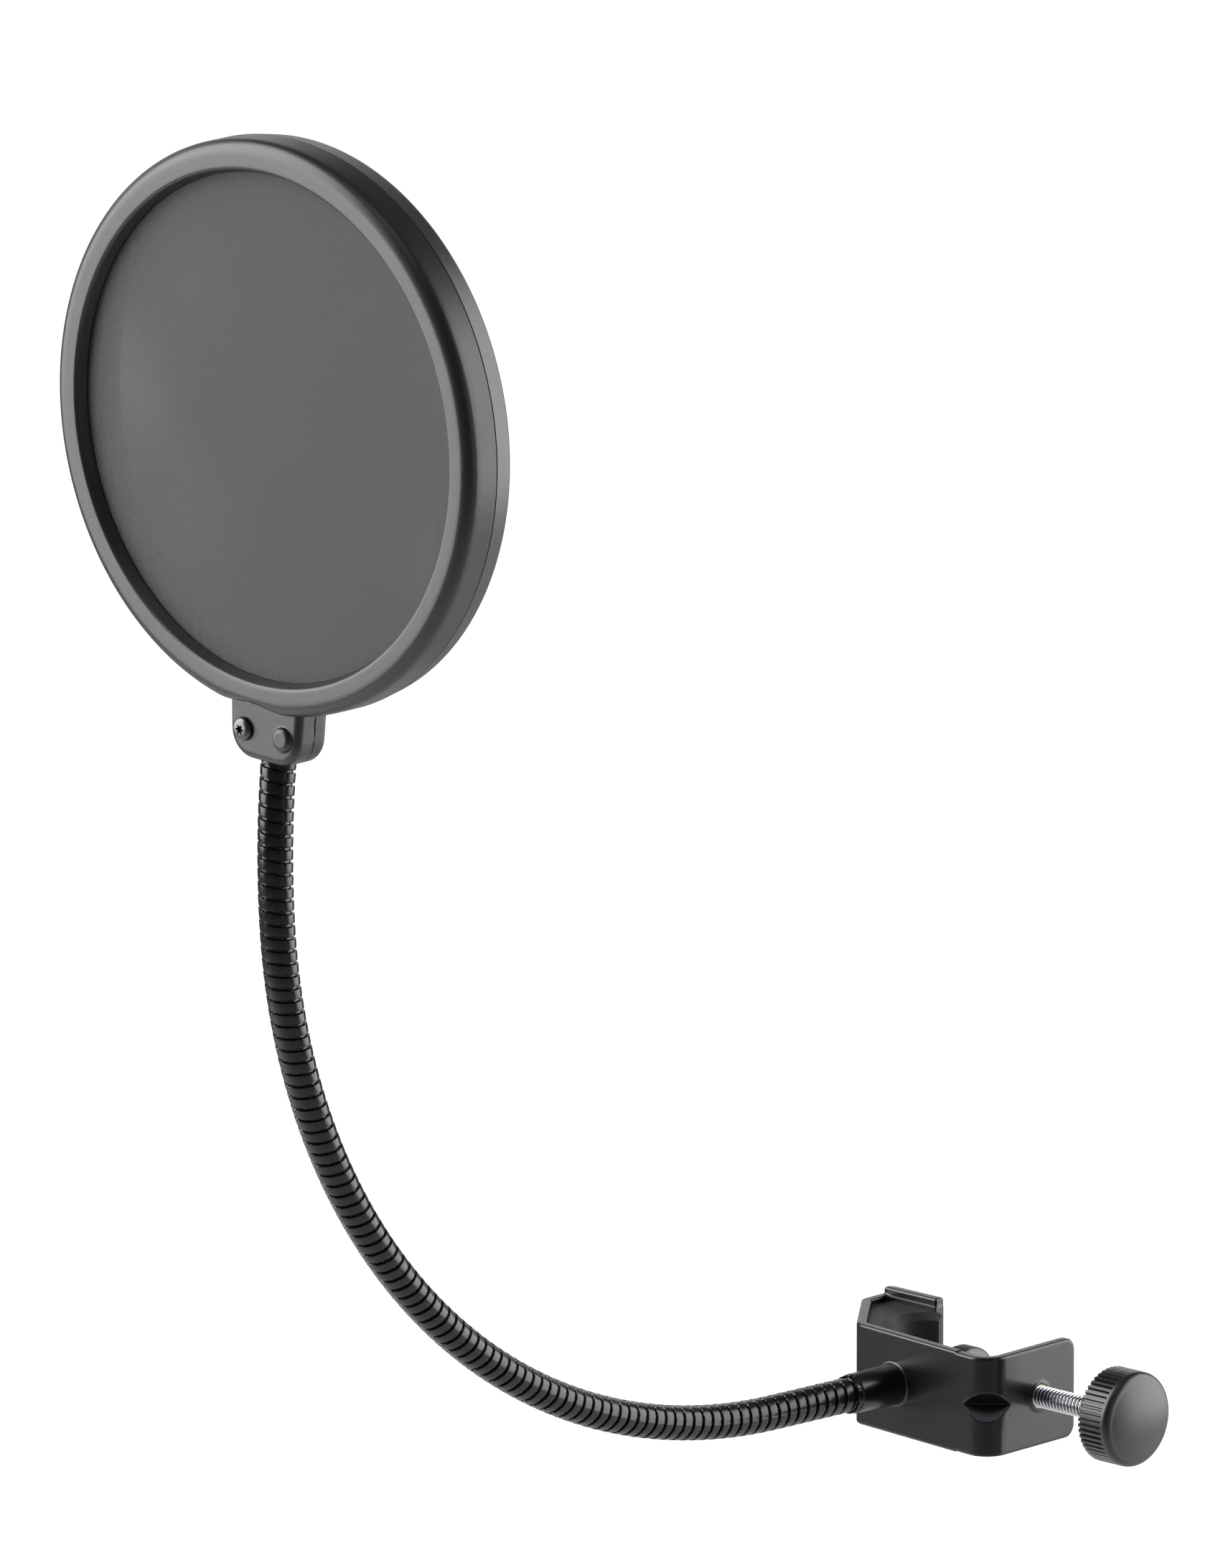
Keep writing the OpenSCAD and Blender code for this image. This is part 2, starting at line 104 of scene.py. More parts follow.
def rounded_corner(a: Array, b: Array, c: Array, r: float, n: int) -> list[Array]:
    """Arc that rounds the corner b between a and c.

    Args:
        a: Point before the corner.
        b: The corner.
        c: Point after the corner.
        r: Radius of the arc, 0 for a sharp corner.
        n: Number of steps in the arc.

    Returns:
        Points of the arc, tangent to both sides.
    """
    if r <= 0:
        return [b]
    u, v = (a - b) / np.linalg.norm(a - b), (c - b) / np.linalg.norm(c - b)
    half = math.acos(float(np.clip(u @ v, -1, 1))) / 2
    m = b + (u + v) / np.linalg.norm(u + v) * r / math.sin(half)
    reach = r / math.tan(half)
    h0 = math.atan2(*(b + u * reach - m)[::-1])
    h1 = math.atan2(*(b + v * reach - m)[::-1])
    turn = (h1 - h0 + 1.5 * TURN) % TURN - TURN / 2
    angles = h0 + turn * np.linspace(0, 1, n + 1)
    return list(m + r * np.stack([np.cos(angles), np.sin(angles)], 1))


def rounded_line(points: list[Pair], radii: list[float], closed: bool, n: int = 12) -> Array:
    """Line through points with each corner rounded by its own radius.

    Args:
        points: The corners.
        radii: A radius for each corner.
        closed: Whether the line returns to its start.
        n: Number of steps in each arc.

    Returns:
        Array of points, one row each.
    """
    p = [np.array(q, float) for q in points]
    count = len(p)
    out: list[Array] = []
    for i, r in enumerate(radii):
        if not closed and i in (0, count - 1):
            out.append(p[i])
        else:
            out.extend(rounded_corner(p[i - 1], p[i], p[(i + 1) % count], r, n))
    return np.array(out)


def offset_line(points: Array, t: float) -> Array:
    """Open line moved sideways by t, to the right of its direction, with mitred corners."""
    d = np.diff(points, axis=0)
    d /= np.linalg.norm(d, axis=1, keepdims=True)
    s = np.stack([d[:, 1], -d[:, 0]], 1)
    both = s[:-1] + s[1:]
    mid = points[1:-1] + both * t / (1 + (s[:-1] * s[1:]).sum(1, keepdims=True))
    return np.vstack([points[0] + s[0] * t, mid, points[-1] + s[-1] * t])


def polygon_distance(polygon: Array, x: Array, y: Array) -> Array:
    """Signed distance from points to a closed polygon, negative inside.

    Args:
        polygon: Corners in order, one row each.
        x: First coordinate of the points.
        y: Second coordinate of the points.

    Returns:
        Distance to the nearest side, with the sign from the crossing count.
    """
    x, y = np.broadcast_arrays(x, y)
    best = np.full(x.shape, 1e9)
    inside = np.zeros(x.shape, bool)
    for (ax, ay), (bx, by) in zip(polygon, np.roll(polygon, -1, axis=0)):
        ex, ey = bx - ax, by - ay
        wx, wy = x - ax, y - ay
        t = np.clip((wx * ex + wy * ey) / (ex * ex + ey * ey + 1e-12), 0, 1)
        best = np.minimum(best, (wx - ex * t) ** 2 + (wy - ey * t) ** 2)
        crosses = (ay > y) != (by > y)
        with np.errstate(divide="ignore", invalid="ignore"):
            at = ax + (y - ay) * ex / (ey if ey else 1e-12)
        inside ^= crosses & (x < at)
    return np.where(inside, -1.0, 1.0) * np.sqrt(best)


def rounded_slab(outline: Array, height: Array, r: float) -> Array:
    """Distance of an outline carried to a height, with its rim rounded by r."""
    a, b = outline + r, height + r
    return np.minimum(np.maximum(a, b), 0.0) + np.hypot(np.maximum(a, 0.0), np.maximum(b, 0.0)) - r


@dataclass
class Surface:
    """Points in millimetres with the faces between them."""

    points: Array
    faces: list[Array]
    normals: Array | None = None

    def __add__(self, other: "Surface") -> "Surface":
        """Both surfaces as one, without joining them."""
        shifted = [f + len(self.points) for f in other.faces]
        return Surface(np.vstack([self.points, other.points]), self.faces + shifted)

    def moved(self, matrix: Array) -> "Surface":
        """The surface carried by a 4 x 4 matrix."""
        return Surface(self.points @ matrix[:3, :3].T + matrix[:3, 3], self.faces)

    def mirrored(self) -> "Surface":
        """The surface with front and back (Z) exchanged, its faces turned to match."""
        return Surface(self.points * (1.0, 1.0, -1.0), [f[:, ::-1] for f in self.faces])


def circle_angles(steps: int) -> Array:
    """Angles of equal steps round a circle, from 0."""
    return np.arange(steps) / steps * TURN


def polar_points(radius: Array, angle: Array, height: Array) -> Array:
    """Points from radius, angle and height about +Z."""
    return np.stack([radius * np.cos(angle), radius * np.sin(angle), height], -1)


def grid_surface(points: Array, wrap: bool, ends: bool = False, flip: bool = False) -> Surface:
    """Quads between the rows and columns of a grid of points.

    Args:
        points: Array of rows x columns x 3.
        wrap: Whether the last column joins the first.
        ends: Whether the first and last rows are closed with a fan.
        flip: Whether the faces turn the other way.

    Returns:
        The surface.
    """
    rows, cols = points.shape[:2]
    ids = np.arange(rows * cols).reshape(rows, cols)
    nxt = np.roll(ids, -1, axis=1) if wrap else ids[:, 1:]
    cur = ids if wrap else ids[:, :-1]
    quads = np.stack([cur[:-1], nxt[:-1], nxt[1:], cur[1:]], -1).reshape(-1, 4)
    flat = points.reshape(-1, 3)
    faces = [quads]
    if ends:
        centres = np.stack([points[0].mean(0), points[-1].mean(0)])
        a, b = len(flat), len(flat) + 1
        flat = np.vstack([flat, centres])
        low = np.stack([nxt[0], cur[0], np.full(cur.shape[1], a)], 1)
        high = np.stack([cur[-1], nxt[-1], np.full(cur.shape[1], b)], 1)
        faces += [low, high]
    if flip:
        faces = [f[:, ::-1] for f in faces]
    return Surface(flat, faces)


def turned_surface(profile: Array, steps: int, closed: bool, radial: Field | None = None) -> Surface:
    """Profile of radius and height turned about +Z.

    Args:
        profile: Rows of radius and height, from the foot outwards and up.
        steps: Number of steps round the axis.
        closed: Whether the profile is a ring; otherwise its ends lie on the axis or are fanned shut.
        radial: Optional change of radius from (radius, height, angle).

    Returns:
        The surface, its outside on the right of the profile's direction.
    """
    angle = circle_angles(steps)
    radius, height = (np.repeat(profile[:, i:i + 1], steps, 1) for i in (0, 1))
    if radial is not None:
        radius = radial(radius, height, np.repeat(angle[None], len(profile), 0))
    p = polar_points(radius, angle, height)
    if closed:
        p = np.concatenate([p, p[:1]], 0)
    return grid_surface(p, wrap=True, ends=not closed)


def axis_frame(origin: Triple, z: Triple, x: Triple) -> Array:
    """4 x 4 matrix whose third column is the direction z and whose first leans to x."""
    w = np.array(z, float) / np.linalg.norm(z)
    u = np.array(x, float) - w * np.dot(x, w)
    u /= np.linalg.norm(u)
    m = np.eye(4)
    m[:3, 0], m[:3, 1], m[:3, 2], m[:3, 3] = u, np.cross(w, u), w, origin
    return m


def surface_net(distance: Field, lo: Array, hi: Array, step: float) -> Surface:
    """Mesh of the zero surface of a signed distance, with one point in each crossed cell.

    Each point starts at the mean of the cell's edge crossings and is then drawn onto the zero
    surface along the gradient, which also gives its normal.

    Args:
        distance: Signed distance of x, y and z, negative inside.
        lo: Lowest corner of the region.
        hi: Highest corner of the region.
        step: Size of a cell.

    Returns:
        Closed surface of quads with a normal for each point.
    """
    n = np.ceil((hi - lo) / step).astype(int) + 1
    ax = [lo[i] + np.arange(n[i]) * step for i in range(3)]
    f = distance(ax[0][:, None, None], ax[1][None, :, None], ax[2][None, None, :])
    f = np.broadcast_to(f, tuple(n)).copy()
    cut = (slice(None, -1), slice(1, None))
    corners = [(i, j, k) for i in (0, 1) for j in (0, 1) for k in (0, 1)]
    below = sum((f[cut[i], cut[j], cut[k]] < 0).astype(np.int8) for i, j, k in corners)
    cells = np.argwhere((below > 0) & (below < 8))
    index = np.full(tuple(n - 1), -1, np.int64)
    index[tuple(cells.T)] = np.arange(len(cells))
    total, count = np.zeros((len(cells), 3)), np.zeros((len(cells), 1))
    for a in corners:
        for axis in range(3):
            if a[axis]:
                continue
            b = tuple(1 if i == axis else a[i] for i in range(3))
            fa, fb = f[tuple((cells + a).T)], f[tuple((cells + b).T)]
            hit = (fa < 0) != (fb < 0)
            t = np.where(hit, fa / np.where(hit, fa - fb, 1.0), 0.0)
            total += np.where(hit[:, None], np.array(a) + t[:, None] * (np.array(b) - np.array(a)), 0.0)
            count += hit[:, None]
    p = lo + (cells + total / count) * step
    quads = []
    for axis in range(3):
        o1, o2 = np.eye(3, dtype=int)[(axis + 1) % 3], np.eye(3, dtype=int)[(axis + 2) % 3]
        sl0 = tuple(cut[0] if i == axis else slice(1, -1) for i in range(3))
        sl1 = tuple(cut[1] if i == axis else slice(1, -1) for i in range(3))
        s0, s1 = f[sl0] < 0, f[sl1] < 0
        edge = np.argwhere(s0 != s1)
        start = edge + np.array([0 if i == axis else 1 for i in range(3)])
        ring = [start - o1 - o2, start - o2, start, start - o1]
        q = np.stack([index[tuple(c.T)] for c in ring], 1)
        out = s0[tuple(edge.T)]
        quads.append(np.where(out[:, None], q, q[:, ::-1]))

    def value(q: Array) -> Array:
        """Distance at rows of points."""
        return distance(q[:, 0], q[:, 1], q[:, 2])

    def gradient(q: Array) -> Array:
        """Slope of the distance at rows of points, by central differences."""
        reach = 0.02
        return np.stack([(value(q + e) - value(q - e)) / (2 * reach) for e in np.eye(3) * reach], 1)

    for _ in range(3):
        g = gradient(p)
        move = g * (value(p) / np.maximum((g * g).sum(1), 0.2))[:, None]
        p = p - np.clip(move, -0.5 * step, 0.5 * step)
    g = gradient(p)
    return Surface(p, [np.vstack(quads)], g / np.maximum(np.linalg.norm(g, axis=1, keepdims=True), 1e-9))


def add_object(name: str, data: bpy.types.ID) -> bpy.types.Object:
    """Makes an object from its data and links it to the scene."""
    obj = bpy.data.objects.new(name, data)
    bpy.context.scene.collection.objects.link(obj)
    return obj


def make_piece(name: str, surface: Surface, sharp: float | None) -> bpy.types.Object:
    """Writes a surface into a mesh object at the origin.

    Args:
        name: Name of the piece.
        surface: Points in millimetres and faces.
        sharp: Angle in degrees above which an edge stays sharp, None for smooth everywhere.

    Returns:
        The new object.
    """
    mesh = bpy.data.meshes.new(name)
    faces = [f for f in surface.faces if len(f)]
    loops = np.concatenate([f.ravel() for f in faces]).astype(np.int32)
    sizes = np.concatenate([np.full(len(f), f.shape[1], np.int32) for f in faces])
    starts = np.concatenate([[0], np.cumsum(sizes)[:-1]]).astype(np.int32)
    mesh.vertices.add(len(surface.points))
    mesh.vertices.foreach_set("co", (surface.points * MM).astype(np.float32).ravel())
    mesh.loops.add(len(loops))
    mesh.loops.foreach_set("vertex_index", loops)
    mesh.polygons.add(len(sizes))
    mesh.polygons.foreach_set("loop_start", starts)
    mesh.polygons.foreach_set("use_smooth", np.ones(len(sizes), bool))
    mesh.update(calc_edges=True)
    mesh.validate()
    if surface.normals is not None:
        mesh.normals_split_custom_set_from_vertices(surface.normals.tolist())
    elif sharp is not None:
        mesh.set_sharp_from_angle(angle=math.radians(sharp))
    return add_object(name, mesh)


# ---------------------------------------------------------------- shader graphs


class Graph:
    """Short calls that add nodes to one shader tree."""

    def __init__(self, tree: bpy.types.NodeTree) -> None:
        """Keeps the tree that the nodes go into."""
        self.tree = tree

    def feed(self, socket: Socket, given: object) -> None:
        """Links a socket to another one, or sets it to a constant."""
        if isinstance(given, bpy.types.NodeSocket):
            self.tree.links.new(given, socket)
        else:
            socket.default_value = given

    def add(self, kind: str, given: Iterable[tuple] = (), **settings: object) -> bpy.types.Node:
        """Adds a node.

        Args:
            kind: The node's type, without its prefix.
            given: Pairs of an input's name or number and the socket or constant for it.
            **settings: Properties of the node.

        Returns:
            The node.
        """
        node = self.tree.nodes.new("ShaderNode" + kind)
        for key, value in settings.items():
            setattr(node, key, value)
        for key, value in given:
            self.feed(node.inputs[key], value)
        return node

    def math(self, kind: str, *given: object) -> Socket:
        """Result of a Math node on sockets or numbers."""
        return self.add("Math", enumerate(given), operation=kind).outputs[0]

    def vector(self, kind: str, *given: object) -> bpy.types.Node:
        """Vector Math node on sockets or vectors."""
        return self.add("VectorMath", enumerate(given), operation=kind)

    def noise(self, vector: Socket, scale: object, detail: float) -> Socket:
        """Value of a Noise texture."""
        given = (("Vector", vector), ("Scale", scale), ("Detail", detail))
        return self.add("TexNoise", given).outputs["Fac"]

    def ramp(self, value: Socket, span: Pair, to: Pair = (0.0, 1.0), kind: str = "SMOOTHSTEP") -> Socket:
        """Value carried from one span to another, and held at its ends."""
        labels = ("Value", "From Min", "From Max", "To Min", "To Max")
        return self.add("MapRange", zip(labels, (value, *span, *to)), interpolation_type=kind).outputs[0]

    def tint(self, shade: Socket, colour: Triple) -> Socket:
        """A shade times a colour."""
        given = (("Factor", 1.0), ("A", shade), ("B", (*colour, 1.0)))
        return self.add("Mix", given, data_type="RGBA", blend_type="MULTIPLY").outputs["Result"]


class MaterialGraph(Graph):
    """The graph of one material, with its Principled shader and its Object coordinates."""

    def __init__(self, name: str) -> None:
        """Makes the material."""
        self.material = bpy.data.materials.new(name)
        self.material.use_nodes = True
        super().__init__(self.material.node_tree)
        self.coords = self.add("TexCoord").outputs["Object"]

    def shade(self, **given: object) -> None:
        """Feeds the Principled shader's inputs, named with _ for a space."""
        for key, value in given.items():
            self.feed(self.tree.nodes["Principled BSDF"].inputs[key.replace("_", " ")], value)

    def bump(self, height: Socket, strength: float, depth: float) -> None:
        """Feeds a height into the shader's normal through a Bump node."""
        given = (("Strength", strength), ("Distance", depth), ("Height", height))
        self.shade(Normal=self.add("Bump", given).outputs["Normal"])


class EffectGroup(Graph):
    """A shader node group, built once and placed in the materials that use it."""

    name = "effect"
    inputs: tuple[tuple[str, float], ...] = ()
    outputs: tuple[str, ...] = ()

    def __init__(self) -> None:
        """Makes the group with its sockets and fills it."""
        super().__init__(bpy.data.node_groups.new(self.name, "ShaderNodeTree"))
        face = self.tree.interface
        face.new_socket("Vector", in_out="INPUT", socket_type="NodeSocketVector")
        for label, default in self.inputs:
            face.new_socket(label, in_out="INPUT", socket_type="NodeSocketFloat").default_value = default
        for label in self.outputs:
            face.new_socket(label, in_out="OUTPUT", socket_type="NodeSocketFloat")
        self.source = self.tree.nodes.new("NodeGroupInput").outputs
        self.sink = self.tree.nodes.new("NodeGroupOutput").inputs
        self.fill()

    def fill(self) -> None:
        """Adds the group's own nodes."""

    def place(self, graph: Graph, vector: Socket, **values: float) -> bpy.types.NodeOutputs:
        """Puts the group into a material.

        Args:
            graph: The material's graph.
            vector: Coordinates for the pattern.
            **values: Inputs by name, with _ for a space.

        Returns:
            The group's outputs.
        """
        given = [("Vector", vector), *((key.replace("_", " "), value) for key, value in values.items())]
        return graph.add("Group", given, node_tree=self.tree).outputs


class GrainEffect(EffectGroup):
    """Fine spark-eroded grain of a moulded part, with faint larger clouds in it."""

    name = "moulded_grain"
    inputs = (("Grains per metre", 2600.0), ("Base", 0.02), ("Gloss", 0.4))
    outputs = ("Height", "Roughness", "Shade")

    def fill(self) -> None:
        """Grain is two noises; roughness and shade follow it a little, and a slow noise varies both."""
        vector, scale = self.source["Vector"], self.source["Grains per metre"]
        fine = self.noise(vector, scale, 1.5)
        coarse = self.noise(vector, self.math("MULTIPLY", scale, 0.6), 1.0)
        mix = self.math("ADD", self.math("MULTIPLY", fine, 0.65), self.math("MULTIPLY", coarse, 0.35))
        self.feed(self.sink["Height"], mix)
        grain = self.math("SUBTRACT", mix, 0.5)
        cloud = self.math("SUBTRACT", self.noise(vector, 46.0, 3.0), 0.5)
        rough = self.math("MULTIPLY_ADD", grain, 0.2, self.source["Gloss"])
        self.feed(self.sink["Roughness"], self.math("MULTIPLY_ADD", cloud, 0.04, rough))
        shade = self.math("MULTIPLY_ADD", grain, 0.9, 1.0)
        shade = self.math("MULTIPLY_ADD", cloud, 0.15, shade)
        self.feed(self.sink["Shade"], self.math("MULTIPLY", shade, self.source["Base"]))


class WeaveEffect(EffectGroup):
    """Plain weave of fine thread: rows of small holes, each row shifted by half a hole."""

    name = "fine_weave"
    inputs = (("Threads per metre", 1670.0), ("Holes", 0.5))
    outputs = ("Cover", "Height", "Shade")

    def fill(self) -> None:
        """The thread's height is cos(u) cos(v / 2) less a little cos(v); holes lie where it is lowest."""
        split = self.add("SeparateXYZ", ((0, self.source["Vector"]),)).outputs
        turn = self.math("MULTIPLY", self.source["Threads per metre"], TURN)
        u, v = (self.math("MULTIPLY", split[axis], turn) for axis in "XY")
        row = self.math("COSINE", self.math("MULTIPLY", v, 1.05))
        half_row = self.math("COSINE", self.math("MULTIPLY", v, 0.525))
        shifted = self.math("MULTIPLY", self.math("COSINE", u), half_row)
        wave = self.math("MULTIPLY_ADD", shifted, 0.78, self.math("MULTIPLY", row, -0.22))
        wander = self.math("SUBTRACT", self.noise(self.source["Vector"], 900.0, 2.0), 0.5)
        wave = self.math("MULTIPLY_ADD", wander, 0.55, wave)
        lift = self.math("MULTIPLY_ADD", wave, 0.5, 0.5)
        self.feed(self.sink["Height"], lift)
        thread = self.ramp(lift, (0.02, 0.42))
        gap = self.math("SUBTRACT", 1.0, self.source["Holes"])
        self.feed(self.sink["Cover"], self.math("MULTIPLY_ADD", thread, self.source["Holes"], gap))
        self.feed(self.sink["Shade"], self.math("MULTIPLY_ADD", thread, 0.75, 0.25))


# ---------------------------------------------------------------- finishes


class Slot(Enum):
    """Material slot names, one carried by each finish."""

    CLAMP = "clamp_plastic"
    PAD = "pad_plastic"
    BRASS = "brass"
    ZINC = "zinc_steel"
    RUBBER = "rubber"
    ARM = "arm_finish"
    SPRING = "spring_steel"
    MESH = "mesh_nylon"
    SCREW = "screw_black"
    CAP = "cap_grey"


@dataclass(frozen=True)
class PlasticFinish:
    """Moulded plastic with a fine grain, which drives its shade, roughness and a shallow bump."""

    slot: Slot
    name: str
    colour: Triple = (1.0, 1.0, 1.05)
    base: float = 0.02
    gloss: float = 0.38
    grains: float = 2600.0
    bump: float = 0.35
    specular: float = 0.5
    grain_depth: float = 0.00006

    def build(self, kit: "FinishKit") -> bpy.types.Material:
        """Makes the material."""
        graph = MaterialGraph(self.name)
        pattern = {"Grains_per_metre": self.grains, "Base": self.base, "Gloss": self.gloss}
        grain = kit.grain.place(graph, graph.coords, **pattern)
        graph.shade(Base_Color=graph.tint(grain["Shade"], self.colour), Roughness=grain["Roughness"])
        graph.shade(Specular_IOR_Level=self.specular)
        graph.bump(grain["Height"], self.bump, self.grain_depth)
        return graph.material


@dataclass(frozen=True)
class MetalFinish:
    """Bare, plated or lacquered metal, with marks that vary its colour and roughness a little."""

    slot: Slot
    name: str
    colour: Triple
    metallic: float = 1.0
    gloss: float = 0.25
    marks: float = 220.0
    bump: float = 0.06
    mark_depth: float = 0.00004
    thread_r: float = 0.0

    def build(self, kit: "FinishKit") -> bpy.types.Material:
        """Makes the material; with a thread, painted shade darkens the colour from its crest to its root.
        """
        graph = MaterialGraph(self.name)
        pattern = {"Grains_per_metre": self.marks, "Base": 1.0, "Gloss": self.gloss}
        grain = kit.grain.place(graph, graph.coords, **pattern)
        shade = graph.ramp(grain["Shade"], (0.4, 1.6), (0.82, 1.12), "LINEAR")
        # Painted shade: the base colour falls to 0.06 at the thread's root, standing in for the shade in
        # its grooves.
        if self.thread_r:
            across = graph.vector("MULTIPLY", graph.coords, (0.0, 1.0, 1.0)).outputs["Vector"]
            radius = graph.vector("LENGTH", across).outputs["Value"]
            groove = graph.ramp(radius, (self.thread_r * 0.82, self.thread_r * 0.99), (0.06, 1.0))
            shade = graph.math("MULTIPLY", shade, groove)
        graph.shade(Base_Color=graph.tint(shade, self.colour), Roughness=grain["Roughness"])
        graph.shade(Metallic=self.metallic)
        graph.bump(grain["Height"], self.bump, self.mark_depth)
        return graph.material


@dataclass(frozen=True)
class NylonFinish:
    """Thin woven nylon that lets a little light through between its threads."""

    slot: Slot
    name: str
    colour: Triple = (0.092, 0.091, 0.097)
    threads: float = 1670.0
    holes: float = 0.7
    bump: float = 0.8
    thread_depth: float = 0.00012

    def build(self, kit: "FinishKit") -> bpy.types.Material:
        """Makes the material: the weave drives colour, height and how much of the area is thread."""
        graph = MaterialGraph(self.name)
        uv = graph.add("UVMap", uv_map="UVMap").outputs[0]
        weave = kit.weave.place(graph, uv, Threads_per_metre=self.threads, Holes=self.holes)
        graph.shade(Base_Color=graph.tint(weave["Shade"], self.colour), Alpha=weave["Cover"], Roughness=0.6)
        graph.shade(Specular_IOR_Level=0.3, Sheen_Weight=0.15, Sheen_Roughness=0.4)
        graph.bump(weave["Height"], self.bump, self.thread_depth)
        return graph.material


AnyFinish = PlasticFinish | MetalFinish | NylonFinish


class FinishKit:
    """Builds each finish once, and puts finished pieces on their bodies."""

    def __init__(self) -> None:
        """Makes the shared effects."""
        self.grain = GrainEffect()
        self.weave = WeaveEffect()
        self.made: dict[str, bpy.types.Material] = {}

    def dress(self, obj: bpy.types.Object, finish: AnyFinish) -> None:
        """Gives a piece or a CAD node its finish."""
        if finish.name not in self.made:
            self.made[finish.name] = finish.build(self)
        obj.data.materials.clear()
        obj.data.materials.append(self.made[finish.name])

    def add_piece(self, name: str, surface: Surface, finish: AnyFinish, nodes: tuple[str, ...],
                  body: str | None, sharp: float | None = 35.0) -> bpy.types.Object:
        """Makes a piece in its CAD nodes' place.

        Args:
            name: Name of the piece.
            surface: Its points and faces.
            finish: Its finish.
            nodes: CAD nodes that it replaces.
            body: Body that carries it, None to leave it on no body.
            sharp: Angle in degrees above which an edge stays sharp, None for smooth everywhere.

        Returns:
            The piece.
        """
        piece = make_piece(name, surface, sharp)
        self.dress(piece, finish)
        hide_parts(*nodes)
        if body:
            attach(piece, body)
        LOG.info("%s: %d points", name, len(piece.data.vertices))
        return piece


RING_PLASTIC = PlasticFinish(
    Slot.CLAMP, "ring_plastic", base=0.012, gloss=0.36, grains=4000.0, bump=0.75, specular=0.75
)
CLAMP_PLASTIC = PlasticFinish(
    Slot.CLAMP, "clamp_plastic", base=0.006, gloss=0.235, grains=5000.0, bump=0.35, specular=0.6
)
KNOB_PLASTIC = PlasticFinish(
    Slot.CLAMP, "knob_plastic", base=0.012, gloss=0.34, grains=4800.0, bump=0.45, specular=0.75
)
PAD_PLASTIC = PlasticFinish(Slot.PAD, "pad_plastic", base=0.02, gloss=0.5, bump=0.2)
CAP_BLACK = PlasticFinish(Slot.CLAMP, "cap_plastic", base=0.015, gloss=0.4, bump=0.15)
CAP_GREY = PlasticFinish(Slot.CAP, "washer_plastic", base=0.30, gloss=0.5, bump=0.15)
CAP_RUBBER = PlasticFinish(Slot.RUBBER, "cap_rubber", base=0.02, gloss=0.7, bump=0.2)
ARM_BLACK = MetalFinish(Slot.ARM, "arm_black", (0.005, 0.005, 0.005), metallic=0.0, gloss=0.23)
# thread_r gives the zinc rod painted shade, darkening its colour towards the thread's roots.
ZINC = MetalFinish(Slot.ZINC, "bright_zinc", (0.86, 0.87, 0.9), gloss=0.24, thread_r=0.0032)
SCREW_STEEL = MetalFinish(Slot.SCREW, "tab_screw_black", (0.13, 0.13, 0.135), gloss=0.3)
BRASS = MetalFinish(Slot.BRASS, "turned_brass", (0.75, 0.56, 0.26), gloss=0.3)
SPRING = MetalFinish(Slot.SPRING, "spring_wire", (0.5, 0.5, 0.52), gloss=0.35)
NYLON = NylonFinish(Slot.MESH, "mesh_nylon")


# ---------------------------------------------------------------- the arm's line


@dataclass
class ArmLine:
    """Centre line of the flexible arm: straight, then one arc to the last joint, then a flatter one."""

    skew: float = math.radians(4.87)  # turn of the arm's upright plane about Z
    web_y: float = 18.25  # from the tube's axis to the clamp's web
    boss: float = 18.1  # from the web to the boss's end, where lengths start
    x: float = 5.88
    straight: float = 28.0  # length up to the first joint
    step: float = 46.0  # length between joints
    sections: int = 7
    bend_r: float = 184.0
    end_r: float = 278.0  # radius past the last joint
    last: float = 47.7  # length from the last joint to the head
    tuck: float = 2.0  # length inside the head

    def __post_init__(self) -> None:
        """Works out the plane's directions."""
        self.forward = np.array([-math.sin(self.skew), -math.cos(self.skew), 0.0])
        self.across = np.array([math.cos(self.skew), -math.sin(self.skew), 0.0])
        self.turn = self.straight + (self.sections - 1) * self.step
        self.foot = self.turn + self.last
        self.length = self.foot + self.tuck

    def angle(self, s: Array) -> Array:
        """Angle above the horizontal at length s: 0, then s / bend_r, then s / end_r."""
        a = np.clip(s - self.straight, 0, self.turn - self.straight) / self.bend_r
        return a + np.clip(s - self.turn, 0, None) / self.end_r

    def reach(self, s: Array) -> tuple[Array, Array]:
        """Forward reach and height at length s, by the chord of each arc."""
        mid = np.clip(s - self.straight, 0, self.turn - self.straight) / self.bend_r
        end = (self.turn - self.straight) / self.bend_r
        tip = end + np.clip(s - self.turn, 0, None) / self.end_r
        x = np.minimum(s, self.straight) + self.bend_r * np.sin(mid)
        x = x + self.end_r * (np.sin(tip) - np.sin(end))
        z = self.bend_r * (1 - np.cos(mid)) + self.end_r * (np.cos(end) - np.cos(tip))
        return x, z

    def frame(self, s: Array) -> tuple[Array, Array, Array]:
        """Places along the arm.

        Args:
            s: Lengths along the arm.

        Returns:
            Points, the directions towards the inside of the bend, and the crosswise directions.
        """
        s = np.atleast_1d(np.asarray(s, float))
        x, z = self.reach(s)
        a = self.angle(s)
        up = np.array([0.0, 0.0, 1.0])
        p = self.x * self.across + np.outer(self.web_y + self.boss + x, self.forward) + np.outer(z, up)
        inner = np.outer(-np.sin(a), self.forward) + np.outer(np.cos(a), up)
        return p, inner, np.repeat(self.across[None], len(s), 0)

    def pivot(self, i: int) -> float:
        """Length at which bending joint i lies, counted from 1."""
        return self.straight + (i - 1) * self.step


# ---------------------------------------------------------------- flexible arm


